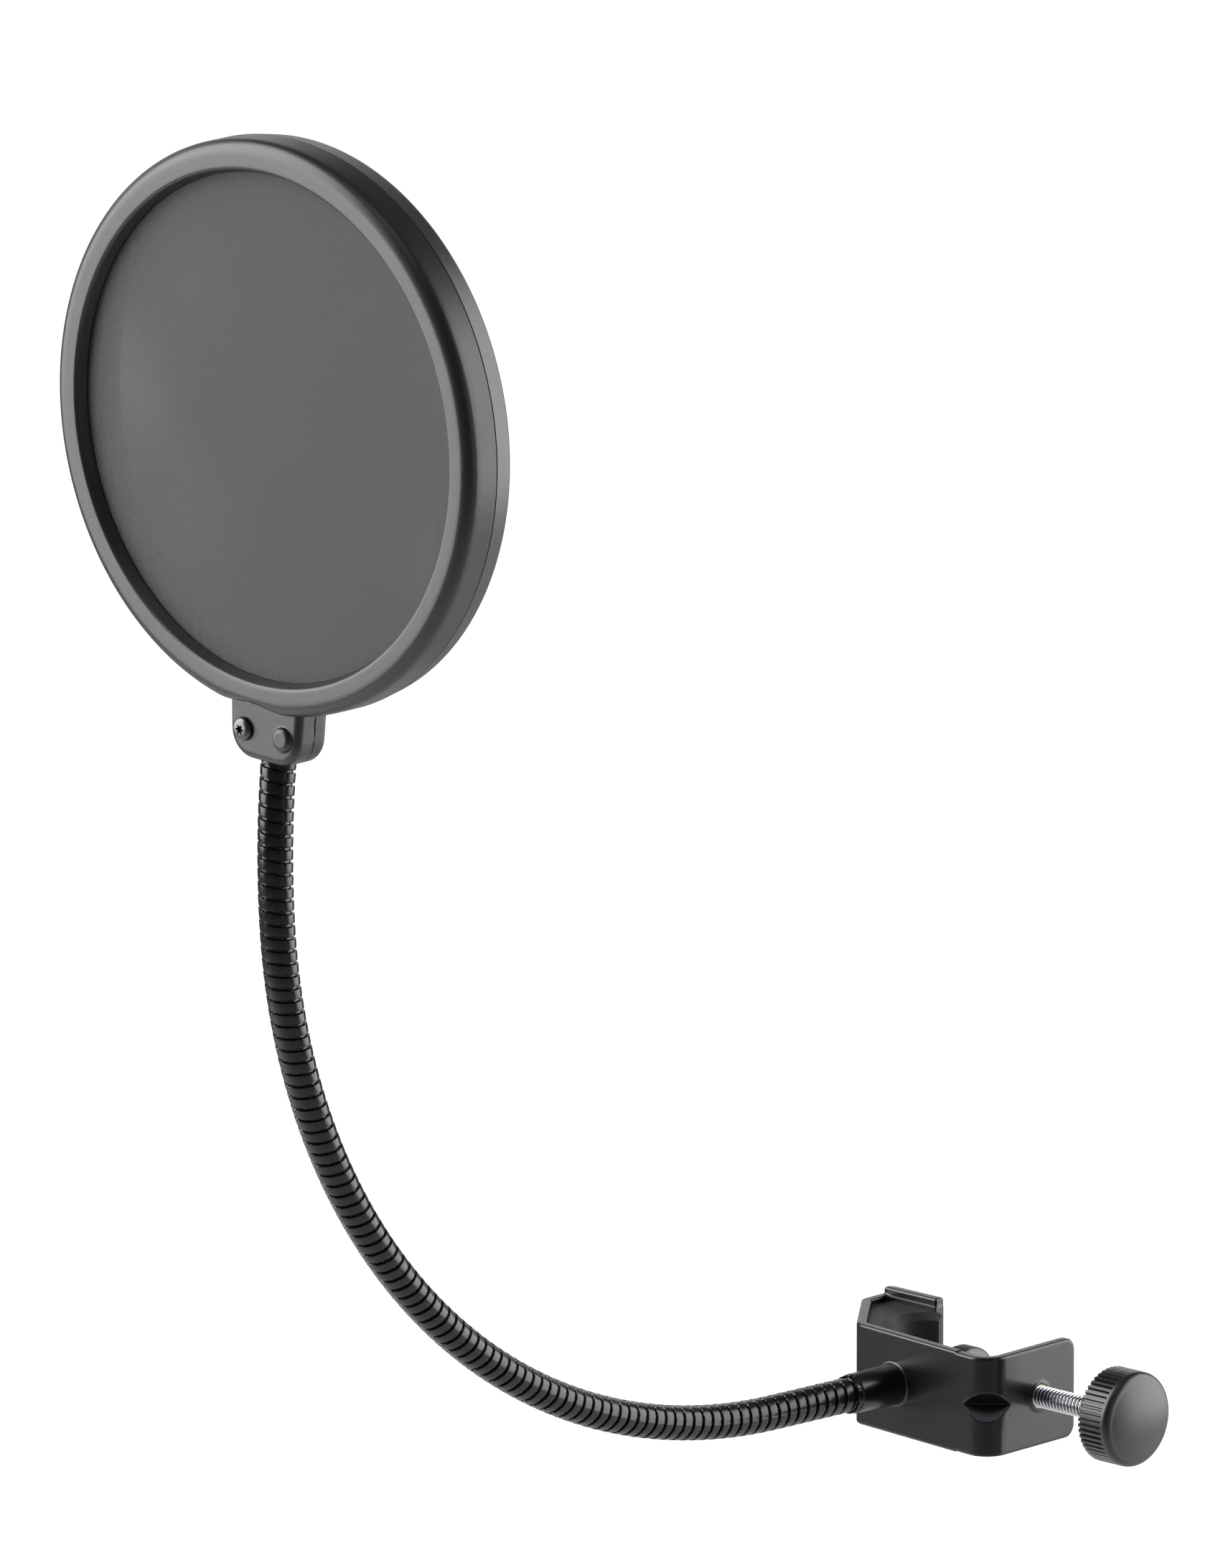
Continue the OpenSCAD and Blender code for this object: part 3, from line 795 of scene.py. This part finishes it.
@dataclass
class FlexibleArm:
    """Interlocked strip wound into a hose, in pieces that each cross one bending joint."""

    line: ArmLine
    kit: FinishKit
    radius: float = 5.0
    groove: float = 0.8  # depth of the groove
    pitch: float = 3.63
    around: int = 60  # mesh columns
    per_turn: int = 22  # mesh rows in a pitch
    hidden: float = 5.6  # length inside the clamp's boss
    bend: float = 13.0  # half of the length that bends at a joint

    def strip_radius(self, s: Array, angle: Array) -> Array:
        """Radius of the wound strip.

        The phase is s over the pitch less the angle over a turn. The strip is flat, leans a
        little so that its leading edge stands proud, and drops into a narrow groove between
        turns. The groove's edge jogs twice a turn, where the strip locks into its neighbour.

        Args:
            s: Length along the arm.
            angle: Angle round it.

        Returns:
            The radius at each point.
        """
        jog = 0.05 * (smooth_step((np.sin(angle + 0.9) - 0.2) * 5) - 0.5)
        phase = (s / self.pitch - angle / TURN + jog) % 1.0
        rise = smooth_step((phase - 0.02) / 0.035)
        fall = 1 - smooth_step((phase - 0.80) / 0.035)
        band = rise * fall
        lean = -0.10 * (1 - phase)
        crown = -0.05 * (2 * phase - 0.9) ** 2
        return self.radius - self.groove * (1 - band) + (lean + crown) * band

    def section(self, s0: float, s1: float) -> Surface:
        """Hose between two lengths, closed at both ends."""
        turns = (s1 - s0) / self.pitch
        s = np.linspace(s0, s1, max(int(turns * self.per_turn), 8))
        angle = circle_angles(self.around)
        r = self.strip_radius(s[:, None], angle[None])
        p, inner, across = self.line.frame(s)
        c, n = np.cos(angle)[None, :, None], np.sin(angle)[None, :, None]
        ring = c * inner[:, None] + n * across[:, None]
        return grid_surface(p[:, None] + r[..., None] * ring, wrap=True, ends=True, flip=True)

    def build(self) -> None:
        """Makes the pieces, each spanning one bending joint."""
        line, last = self.line, self.line.sections
        for i in range(1, last + 1):
            s = line.pivot(i)
            lo = -self.hidden if i == 1 else s - line.step / 2
            hi = line.length if i == last else s + line.step / 2
            nodes = ("coil_root",) if i == 1 else (f"coil_{i - 1}",)
            if i == last:
                nodes += (f"coil_{i}",)
            piece = self.kit.add_piece(f"arm_strip_{i}", self.section(lo, hi), ARM_BLACK, nodes, None, 30.0)
            ends, _, _ = line.frame([s - self.bend, s + self.bend])
            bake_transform(piece)


# ---------------------------------------------------------------- clamp


@dataclass
class ClampBody:
    """The clamp's one moulded part, as a signed distance with fillets, rims and a notch."""

    line: ArmLine
    kit: FinishKit
    half: float = 14.7  # half of its height
    wall: float = 3.0
    rim: float = 0.65  # rounding of its edges
    flange_x: float = 43.2  # outer face of the flange
    flange_from: float = 30.0  # X past which only the flange lies
    tail: float = 15.0  # free end of the flange
    tail_r: float = 4.0
    corner_r: float = 7.0  # bend from the web to the flange
    slant_x: float = -11.2  # where the web turns into the slanted wall
    slant_y: float = 3.5  # where the slanted wall turns into the hook's side
    hook_x: float = -28.4
    rear_y: float = 14.35
    tip_x: float = -7.0
    rise: float = 2.2  # how far the rear arm stands out above and below
    rear_inset: float = 1.4  # from the hook's side to the taller part
    boss_r: float = 5.65
    boss_step: float = 0.22  # how much slimmer the boss's end band is
    boss_band: float = 2.1  # length of that band
    seat_r: float = 5.05
    seat_depth: float = 6.0
    screw_rim_r: float = 4.3
    screw_rim_x: float = 43.6
    notch: float = 4.3
    step: float = 0.44  # size of a mesh cell

    def web_point(self, x: float) -> tuple[float, float]:
        """Point on the web's outer face at a given X."""
        return x, -(self.line.web_y + x * math.sin(self.line.skew)) / math.cos(self.line.skew)

    def __post_init__(self) -> None:
        """Works out the outlines and the corner's directions."""
        outer = np.array([
            (self.flange_x, self.tail), self.web_point(self.flange_x), self.web_point(self.slant_x),
            (self.hook_x, self.slant_y), (self.hook_x, self.rear_y), (self.tip_x, self.rear_y),
        ])
        radii = [0, self.corner_r, 5.3, 3.6, 4.2, 0]
        inner = offset_line(outer, self.wall)
        inner_r = [max(r - self.wall, 0.8) if r else 0 for r in radii]
        a = rounded_line(list(map(tuple, outer)), radii, closed=False)
        b = rounded_line(list(map(tuple, inner)), inner_r, closed=False)
        self.outline = np.vstack([a, b[::-1]])
        self.filled = a  # the outer side closed straight across, for the gusset
        facing = -(math.pi / 2 + self.line.skew) / 2
        self.corner_out = np.array([math.cos(facing), math.sin(facing)])
        self.corner = np.array(self.web_point(self.flange_x))
        half_corner = (math.pi / 2 - self.line.skew) / 2
        self.notch_depth = self.notch + self.corner_r * (1 / math.sin(half_corner) - 1)

    def distance(self, x: Array, y: Array, z: Array) -> Array:
        """Signed distance to the part.

        The plate is the outline carried up with rounded rims, its flange trimmed to a rounded
        tail. The rear arm is the same outline, taller. The arm's boss is a round bar that meets
        the web in a small fillet and steps in near its end. The screw's bore has a low rim outside
        and a collar inside. The notch is a bar on edge cut across the corner, with a gusset of the
        same shape behind it.
        """
        line = self.line
        flat = polygon_distance(self.outline, x, y)
        az = np.abs(z)
        plate = rounded_slab(flat, az - self.half, self.rim)
        past_end, past_side = y - (self.tail - self.tail_r - 0.06), az - (self.half - self.tail_r)
        tail = np.hypot(np.maximum(past_end, 0), np.maximum(past_side, 0)) - self.tail_r
        tail = tail + np.minimum(np.maximum(past_end, past_side), 0)
        plate = np.where(x > self.flange_from, smooth_max(plate, tail, 1.1), plate)
        rear = np.maximum(flat, self.rear_y - self.wall - y)
        rear = np.maximum(rear, np.maximum(self.hook_x + self.rear_inset - x, x - self.flange_from))
        body = smooth_min(plate, rounded_slab(rear, az - self.half - self.rise, self.rim), 0.5)

        along = (x - self.corner[0]) * self.corner_out[0] + (y - self.corner[1]) * self.corner_out[1]
        bar = (np.abs(along) + az - self.notch_depth) / math.sqrt(2)
        gusset = np.maximum(bar - self.wall, polygon_distance(self.filled, x, y) + 0.6)
        body = np.minimum(body, gusset)

        u = x * line.across[0] + y * line.across[1]
        v = x * line.forward[0] + y * line.forward[1]
        end = line.web_y + line.boss
        off_arm = np.hypot(u - line.x, z)
        draft = 0.012 * (end - v)
        radius = self.boss_r + draft - self.boss_step * smooth_step((v - end + self.boss_band) / 0.25)
        boss = np.maximum(rounded_slab(off_arm - radius, v - end, 0.45), line.web_y - 1.2 - v)
        body = smooth_min(body, boss, 0.7)

        off_screw = np.hypot(y, z)
        lip = rounded_slab(off_screw - self.screw_rim_r, x - self.screw_rim_x, 0.3)
        body = smooth_min(body, np.maximum(lip, self.flange_x - 1.2 - x), 0.5)
        from_inside = np.abs(x - self.flange_x + self.wall)
        collar = rounded_slab(off_screw - self.screw_rim_r - 0.6, from_inside - 2.0, 0.3)
        body = smooth_min(body, collar, 0.6)

        bore = np.maximum(off_screw - (self.screw_rim_r - 1.0), self.flange_from - x)
        seat = np.maximum(off_arm - self.seat_r, end - self.seat_depth - v)
        return np.maximum(np.maximum(np.maximum(body, -bar), -bore), -seat)

    def build(self) -> None:
        """Makes the part and puts it in the CAD node's place."""
        margin, top = 1.0, self.half + self.rise + 1.0
        lo = np.array([self.hook_x - margin, -(self.line.web_y + self.line.boss) - 2.5, -top])
        hi = np.array([self.screw_rim_x + margin, self.tail + margin, top])
        surface = surface_net(self.distance, lo, hi, self.step)
        self.kit.add_piece("clamp_moulding", surface, CLAMP_PLASTIC, ("clamp_body",), "clamp")


# ---------------------------------------------------------------- thumbscrew


@dataclass
class Thumbscrew:
    """Threaded rod with its pressure cap and ribbed knob, along +X."""

    kit: FinishKit
    rod_r: float = 3.2
    thread_depth: float = 0.62
    thread_x: float = 18.2  # where the thread starts
    around: int = 40  # mesh columns of the rod
    pitch: float = 1.25
    cap_x: float = 11.05  # inner end of the cap's facing
    cap_t: float = 6.3
    cap_r: float = 9.35
    facing: float = 1.2
    washer_t: float = 0.3
    knob_x: float = 69.7
    knob_t: float = 12.7
    knob_r: float = 13.6
    ribs: int = 50
    rib_depth: float = 0.95
    rib_end: float = 8.4  # from the knob's inner face

    def along_x(self, x: float) -> Array:
        """Frame at X whose axis points along +X."""
        return axis_frame((x, 0, 0), (1, 0, 0), (0, 0, 1))

    def thread_radius(self, x: Array, angle: Array) -> Array:
        """Radius of the thread: a rounded V whose phase is x over the pitch less the turn."""
        phase = (x / self.pitch - angle / TURN) % 1.0
        tri = np.abs(2 * phase - 1)
        cut = smooth_step((tri - 0.22) / 0.6)
        start = smooth_step((x - self.thread_x) / 0.8) * smooth_step((self.knob_x + 1.0 - x) / 0.8)
        return self.rod_r - self.thread_depth * cut * start

    def rod(self) -> Surface:
        """Rod with its thread, its plain tip in the cap and its end in the knob."""
        steps = int((self.knob_x - 16.5) / self.pitch * 12)
        threaded = np.linspace(17.7, self.knob_x + 1.2, steps)
        x = np.concatenate([threaded, [self.knob_x + 7.0]])
        angle = circle_angles(self.around)
        tip = np.full((2, self.around), self.rod_r * 0.75)
        radius = np.vstack([tip, self.thread_radius(x[:, None], angle[None])])
        height = np.concatenate([[13.9, 17.5], x])[:, None] + 0 * angle
        surface = grid_surface(polar_points(radius, angle, height), wrap=True, ends=True)
        return surface.moved(self.along_x(0))

    def knob(self) -> Surface:
        """Knob: a turned profile whose side is cut by ribs that stop, rounded, short of the face."""
        r, t = self.knob_r, self.knob_t
        dome, shoulder = 1.4, 2.0
        top = t - dome
        bore = self.rod_r + 0.05
        side = np.linspace(0.5, 9.2, 34)
        arc = np.linspace(0, math.pi / 2, 10)
        face = np.linspace(0, 1, 22)[1:]
        profile = np.vstack([
            [[bore, 7.5], [bore, 0.35], [bore + 0.35, 0], [r - 2.4, 0], [r - 1.3, 0], [r - 0.4, 0.12]],
            np.stack([r + 0 * side, side], 1),
            np.stack([r - shoulder + shoulder * np.cos(arc), top - shoulder + shoulder * np.sin(arc)], 1),
            np.stack([(r - shoulder) * (1 - face), top + dome * (1 - (1 - face) ** 2)], 1)[:-1],
        ])

        def ribbed(radius: Array, height: Array, angle: Array) -> Array:
            """Radius less the flute: round-bottomed between ribs, and ending in a half round."""
            phase = (angle * self.ribs / TURN) % 1.0
            across = np.abs(phase - 0.5) * 2
            pitch = TURN * r / self.ribs
            gap = 0.50
            ahead = np.clip(height - self.rib_end, 0, None) / (pitch * gap / 2)
            inside = np.sqrt((across / gap) ** 2 + ahead**2)
            depth = self.rib_depth * (1 - smooth_step((inside - 0.62) / 0.42))
            return radius - depth * smooth_step((radius - (r - 1.0)) / 0.4)

        surface = turned_surface(profile, self.ribs * 14, closed=False, radial=ribbed)
        return surface.moved(self.along_x(self.knob_x))

    def cap(self) -> Surface:
        """Pressure cap: a disc with a rounded rim, a recess for its washer and a hollow for the tip."""
        r, t = self.cap_r, self.cap_t - self.facing
        arc = np.linspace(0, math.pi / 2, 8)
        rim, sink, bore = 0.4, self.washer_t, 2.46
        profile = np.vstack([
            [[0.0, 0.0], [r - 0.3, 0.0], [r, 0.3]],
            np.stack([r - rim + rim * np.cos(arc), t - rim + rim * np.sin(arc)], 1),
            [[r - rim, t - sink], [bore + 0.14, t - sink], [bore, t - sink - 0.2], [bore, 1.6], [0.0, 1.6]],
        ])
        return turned_surface(profile, 96, closed=True).moved(self.along_x(self.cap_x + self.facing))

    def washer(self) -> Surface:
        """Washer let into the cap's outer face."""
        r, t = self.cap_r - 0.42, self.washer_t
        profile = np.array([[4.9, 0.0], [r, 0.0], [r, t - 0.1], [r - 0.1, t], [5.1, t], [4.9, t - 0.2]])
        seat = self.cap_x + self.cap_t - t - 0.01
        return turned_surface(profile, 96, closed=True).moved(self.along_x(seat))

    def build(self) -> None:
        """Makes the pieces and puts them in their bodies."""
        for name, surface, finish, node, body, sharp in (
            ("screw_thread", self.rod(), ZINC, "thumb_screw", "screw", None),
            ("ribbed_knob", self.knob(), KNOB_PLASTIC, "knob", "screw", 50.0),
            ("screw_cap", self.cap(), CAP_BLACK, "pressure_cap", "carriage", 40.0),
            ("cap_washer", self.washer(), CAP_GREY, "pressure_cap", "carriage", 40.0),
        ):
            self.kit.add_piece(name, surface, finish, (node,), body, sharp)


# ---------------------------------------------------------------- head


@dataclass
class FilterHead:
    """Ring of two shells with a tab, its mesh layers and the tab's screws.

    Local coordinates have the ring's middle or the tab's foot as origin, X to the right seen
    from the front, Y up and Z out of the front, measured from the parting line.
    """

    line: ArmLine
    kit: FinishKit
    ring_r: float = 80.0
    open_r: float = 70.6
    front: float = 10.9  # depth of the front shell
    rear: float = 7.1  # depth of the rear shell
    front_mesh: float = 6.9  # depth of the front sheet
    rear_mesh: float = 3.6  # depth of the rear sheet
    mesh_r: float = 77.6
    tab_h: float = 15.0
    tab_front: float = 6.3  # depth of the tab's front half
    tab_rear: float = 5.4  # depth of its rear half
    tab_half: float = 13.8  # half of its width
    roll: float = math.radians(2.4)
    yaw: float = math.radians(-0.85)
    screw_gap: float = 15.2  # between the two screws
    screw_up: float = 8.2  # height of the screws above the tab's foot
    around: int = 360  # mesh columns of the ring

    def __post_init__(self) -> None:
        """Works out the place of the head from the arm's end."""
        foot, _, _ = self.line.frame([self.line.foot])
        turn = Matrix.Rotation(self.yaw, 3, "Z") @ Matrix.Rotation(self.roll, 3, "Y")
        out, right = turn @ Vector((0, -1, 0)), turn @ Vector((1, 0, 0))
        self.tab_place = axis_frame(tuple(foot[0]), tuple(out), tuple(right))
        self.ring_place = self.tab_place.copy()
        self.ring_place[:3, 3] += (self.ring_r + self.tab_h) * self.tab_place[:3, 1]

    def ring(self, depth: float, mesh: float, outer: float, is_front: bool) -> Surface:
        """One shell of the ring, crown upwards.

        Args:
            depth: Depth from the parting line to the crown.
            mesh: Depth of the mesh's outer face.
            outer: Radius at the shell's far rim.
            is_front: Whether it is the front shell, whose bead is dented above the tab.

        Returns:
            The shell, turned about its axis.
        """
        r, o = self.ring_r, self.open_r
        crown_r, lip_r, lip, inside = (3.7, 1.1, 1.4, 4.4) if is_front else (2.0, 1.2, 1.6, 3.4)
        corners = [
            (r - 2.0, 0.06), (r - 0.14, 0.06), (r, 0.2), (outer, depth),
            (o + lip, depth - 0.15), (o + 0.15, mesh + 0.75), (o, mesh + 0.05), (o + 2.0, mesh + 0.05),
            (o + 4.5, depth - 2.0), (r - 4.0, depth - 2.2), (r - 2.0, depth - inside),
        ]
        radii = [0, 0, 0, crown_r, lip_r, 0.5, 0, 0, 0.6, 0.8, 0.6]
        profile = rounded_line(corners, radii, closed=True, n=10)
        sides = zip(profile, np.roll(profile, -1, axis=0))
        profile = np.vstack([np.linspace(a, b, 4, endpoint=False) for a, b in sides])

        def dented(radius: Array, height: Array, angle: Array) -> Array:
            """Radius less a shallow dent over the tab, which grows towards the rim."""
            x = np.sin(angle + math.pi / 2) * r + 2.0
            low = np.cos(angle + math.pi / 2) > 0
            bump = np.cos(np.clip(x / 13.0, -1, 1) * math.pi / 2) ** 2
            return radius - 1.6 * bump * low * smooth_step((radius - 75.0) / 5.0)

        return turned_surface(profile, self.around, closed=True, radial=dented if is_front else None)

    def tab(self, depth: float, dome_x: float, hole_x: float) -> Surface:
        """Half of the tab with its dome and its screw hole, origin at the tab's foot."""
        h, w = self.tab_h, self.tab_half
        corners = [(-w, h + 3.2), (-w + 1, 0), (w - 1, 0), (w, h + 3.2)]
        outline = rounded_line(corners, [0, 8, 8, 0], closed=True)
        centre = self.ring_r + h

        def distance(x: Array, y: Array, z: Array) -> Array:
            """Rounded slab of the outline, less the ring's inside and the screw hole, plus the dome."""
            slab = rounded_slab(polygon_distance(outline, x, y), z - depth, 2.1)
            dome = rounded_slab(np.hypot(x - dome_x, y - self.screw_up) - 3.45, z - depth - 1.5, 1.35)
            body = smooth_min(slab, dome, 0.3)
            body = np.maximum(body, 0.06 - z)
            body = np.maximum(body, self.ring_r - 1.0 - np.hypot(x, y - centre))
            return np.maximum(body, 1.6 - np.hypot(x - hole_x, y - self.screw_up))

        lo = np.array([-w - 1, -1.0, -0.7])
        hi = np.array([w + 1, h + 4.5, depth + 2.5])
        return surface_net(distance, lo, hi, 0.4)

    def torx_screw(self) -> Surface:
        """Pan-head screw with a six-lobed recess, its seat at height 0."""
        angle = circle_angles(96)
        lobe = 1.08 + 0.30 * np.cos(6 * angle)
        rows = [(1.5, -9.6), (1.5, 0.02), (3.1, 0.02)]
        arc = np.linspace(0, math.pi / 2, 12)
        rows += [(1.6 + 1.75 * math.cos(a) ** 0.8, 0.35 + 1.35 * math.sin(a)) for a in arc]
        rim_r, rim_z = rows[-1]
        rows += [(rim_r * (1 - t) + (lobe + 0.06) * t, rim_z + 0.03 * t) for t in (0.35, 0.7, 1.0)]
        rows += [(lobe, 1.62), (lobe * 0.97, 0.55)]
        rows += [(lobe * f, 0.55) for f in np.linspace(1, 0.05, 4)[1:]]
        radius, height = (np.stack([row[i] + 0 * angle for row in rows]) for i in (0, 1))
        return grid_surface(polar_points(radius, angle, height), wrap=True, ends=True)

    def add_mesh(self, name: str, node: str, depth: float) -> None:
        """Adds a round sheet of nylon, drawn tight, with its weave along a flat UV map in metres."""
        r, rings, cols = self.mesh_r, 40, 144
        radius = np.linspace(0, 1, rings)[1:, None] ** 0.8 * r
        local = polar_points(radius, circle_angles(cols), depth + 0 * radius * circle_angles(cols))
        x, y = local[..., 0], local[..., 1]
        local[..., 2] += 0.035 * np.sin(x / 9.0 + 0.4 * np.sin(y / 13.0)) * np.cos(y / 11.0)
        flat = np.vstack([local.reshape(-1, 3), [[0, 0, depth]]])
        ids = np.arange((rings - 1) * cols).reshape(rings - 1, cols)
        nxt = np.roll(ids, -1, 1)
        quads = np.stack([ids[:-1], ids[1:], nxt[1:], nxt[:-1]], -1).reshape(-1, 4)
        hub = np.stack([np.full(cols, len(flat) - 1), ids[0], nxt[0]], 1)
        surface = Surface(flat, [quads, hub]).moved(self.ring_place)
        piece = self.kit.add_piece(name, surface, NYLON, (node,), "head", None)
        index = np.zeros(len(piece.data.loops), np.int32)
        piece.data.loops.foreach_get("vertex_index", index)
        c, s = math.cos(self.roll), math.sin(self.roll)
        plumb = np.stack([flat[:, 0] * c + flat[:, 1] * s, -flat[:, 0] * s + flat[:, 1] * c], 1) * MM
        layer = piece.data.uv_layers.new(name="UVMap")
        layer.data.foreach_set("uv", plumb[index].astype(np.float32).ravel())

    def build(self) -> None:
        """Makes the shells, sheets and screws and puts them on the head."""
        half = self.screw_gap / 2
        ring_f = self.ring(self.front, self.front_mesh, self.ring_r, True)
        ring_r = self.ring(self.rear, self.rear_mesh, self.ring_r - 1.2, False).mirrored()
        tab_f = self.tab(self.tab_front, half, -half)
        tab_r = self.tab(self.tab_rear, -half, half).mirrored()
        for name, ring, tab, node in (
            ("ring_front", ring_f, tab_f, "front_shell"),
            ("ring_rear", ring_r, tab_r, "rear_shell"),
        ):
            surface = ring.moved(self.ring_place) + tab.moved(self.tab_place)
            self.kit.add_piece(name, surface, RING_PLASTIC, (node,), "head", 40.0)
        self.add_mesh("front_nylon", "front_mesh", self.front_mesh)
        self.add_mesh("rear_nylon", "rear_mesh", -self.rear_mesh)
        for name, node, x, depth, is_rear in (
            ("tab_screw_front", "front_screw", -half, self.tab_front, False),
            ("tab_screw_rear", "rear_screw", half, self.tab_rear, True),
        ):
            place = np.eye(4)
            place[:3, 3] = (x, self.screw_up, depth)
            screw = self.torx_screw().moved(place)
            screw = screw.mirrored() if is_rear else screw
            self.kit.add_piece(name, screw.moved(self.tab_place), SCREW_STEEL, (node,), "head")


# ---------------------------------------------------------------- CAD nodes that stay


def dress_cad_nodes(nodes: dict[str, bpy.types.Object], kit: FinishKit) -> None:
    """Gives each CAD node that stays in sight its finish.

    Args:
        nodes: CAD nodes by name.
        kit: The finishes.
    """
    plain = {
        "tube_pad": PAD_PLASTIC, "thread_insert": BRASS, "arm_anchor": BRASS, "head_ferrule": BRASS,
        "cap_facing": CAP_RUBBER, "mesh_spacer": RING_PLASTIC,
    }
    for name, obj in nodes.items():
        finish = SPRING if name.startswith("core_") else plain.get(name)
        if finish is not None:
            kit.dress(obj, finish)


# ---------------------------------------------------------------- studio


@dataclass
class Studio:
    """Pale floor, soft boxes left and right of the camera, and the camera."""

    azimuth: float = math.radians(43.355)
    elevation: float = math.radians(13.728)
    lens: float = 554.46
    distance: float = 6832.6
    right_mm: float = -89.93  # shift of the view to the right
    up_mm: float = 165.43  # shift of the view upwards
    floor_z: float = -0.6  # in metres, as are the floor's half width, the target and the lamps
    floor_half: float = 30.0
    target: Vector = field(default_factory=lambda: Vector((0.0, -0.13, 0.15)))

    def directions(self) -> tuple[Vector, Vector, Vector]:
        """Right, up and back directions of the camera."""
        a, e = self.azimuth, self.elevation
        back = Vector((math.sin(a) * math.cos(e), -math.cos(a) * math.cos(e), math.sin(e)))
        right = Vector((math.cos(a), math.sin(a), 0))
        return right, back.cross(right), back

    def camera(self) -> None:
        """Places the camera."""
        right, up, back = self.directions()
        data = bpy.data.cameras.new("camera")
        data.lens = self.lens
        data.sensor_width = 36.0
        data.clip_start, data.clip_end = 0.1, 60.0
        place = Matrix((right, up, back)).transposed().to_4x4()
        place.translation = (right * self.right_mm + up * self.up_mm + back * self.distance) * MM
        obj = add_object("camera", data)
        obj.matrix_world = place
        bpy.context.scene.camera = obj

    def soft_box(self, name: str, azimuth: float, height: float, distance: float, size: Pair,
                 watts: float, colour: Triple = (1, 1, 1)) -> None:
        """Adds a rectangular lamp that faces the object.

        Args:
            name: Name of the lamp.
            azimuth: Direction in degrees, as for the camera.
            height: Height of its middle in metres.
            distance: Distance from the object in metres.
            size: Width and height in metres.
            watts: Power.
            colour: Tint.
        """
        data = bpy.data.lights.new(name, "AREA")
        data.shape = "RECTANGLE"
        data.size, data.size_y = size
        data.energy = watts
        data.color = colour
        a = math.radians(azimuth)
        away = Vector((math.sin(a) * distance, -math.cos(a) * distance, height))
        place = away + Vector((self.target.x, self.target.y, 0))
        obj = add_object(name, data)
        obj.location = place
        obj.rotation_mode = "QUATERNION"
        obj.rotation_quaternion = (place - self.target).to_track_quat("Z", "Y")

    def floor(self) -> None:
        """Adds the pale floor, whose glow is seen by the camera alone and is weaker near the object."""
        mesh = bpy.data.meshes.new("floor")
        s, z = self.floor_half, self.floor_z
        mesh.from_pydata([(-s, -s, z), (s, -s, z), (s, s, z), (-s, s, z)], [], [(0, 1, 2, 3)])
        add_object("floor", mesh)
        graph = MaterialGraph("pale_floor")
        away = graph.vector("LENGTH", graph.coords).outputs["Value"]
        fade = graph.ramp(away, (1.3, 2.6), (0.8, 1.0), "LINEAR")
        glow = graph.math("MULTIPLY", graph.add("LightPath").outputs["Is Camera Ray"], fade)
        graph.shade(Base_Color=(0.8, 0.8, 0.8, 1), Roughness=0.9, Specular_IOR_Level=0.0)
        graph.shade(Emission_Color=(1, 1, 1, 1), Emission_Strength=glow)
        mesh.materials.append(graph.material)

    def world(self) -> None:
        """Dim room, white to the camera and, behind the object, in what metal mirrors."""
        world = bpy.data.worlds.new("room")
        bpy.context.scene.world = world
        world.use_nodes = True
        world.node_tree.nodes.clear()
        graph = Graph(world.node_tree)
        path = graph.add("LightPath").outputs
        seen = graph.math("MAXIMUM", path["Is Camera Ray"], path["Is Transmission Ray"])
        around = graph.add("TexCoord").outputs["Generated"]
        facing = graph.vector("DOT_PRODUCT", around, -self.directions()[2])
        behind = graph.ramp(facing.outputs["Value"], (0.6, 0.95))
        white_share = graph.math("MULTIPLY_ADD", path["Is Glossy Ray"], behind, seen)
        room = graph.add("Background", (("Color", (0.93, 0.95, 1.0, 1)), ("Strength", 0.10))).outputs[0]
        white = graph.add("Background", (("Color", (1, 1, 1, 1)), ("Strength", 1.0))).outputs[0]
        mix = graph.add("MixShader", ((0, white_share), (1, room), (2, white)))
        graph.add("OutputWorld", ((0, mix.outputs[0]),))

    def build(self) -> None:
        """Sets up the whole studio."""
        bpy.context.scene.view_settings.view_transform = "Standard"
        self.world()
        self.floor()
        self.soft_box("left_box", -50.0, 0.72, 1.3, (1.2, 2.0), 40.0)
        self.soft_box("right_box", 146.0, 0.40, 1.6, (1.5, 1.7), 31.0)
        self.soft_box("right_card", 86.0, 0.3, 2.0, (0.25, 1.2), 1.4, (1.0, 0.86, 0.70))
        self.soft_box("top_box", 43.0, 2.3, 0.6, (1.0, 1.0), 2.6, (0.78, 0.86, 1.0))
        self.camera()


# ---------------------------------------------------------------- whole


def main() -> None:
    """Loads the frame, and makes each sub-assembly."""
    logging.basicConfig(level=logging.INFO, format="%(name)s: %(message)s")
    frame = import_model()
    kit = FinishKit()
    line = ArmLine()
    ClampBody(line, kit).build()
    FlexibleArm(line, kit).build()
    Thumbscrew(kit).build()
    FilterHead(line, kit).build()
    dress_cad_nodes(frame["nodes"], kit)
    Studio().build()


if __name__ == "__main__":
    main()
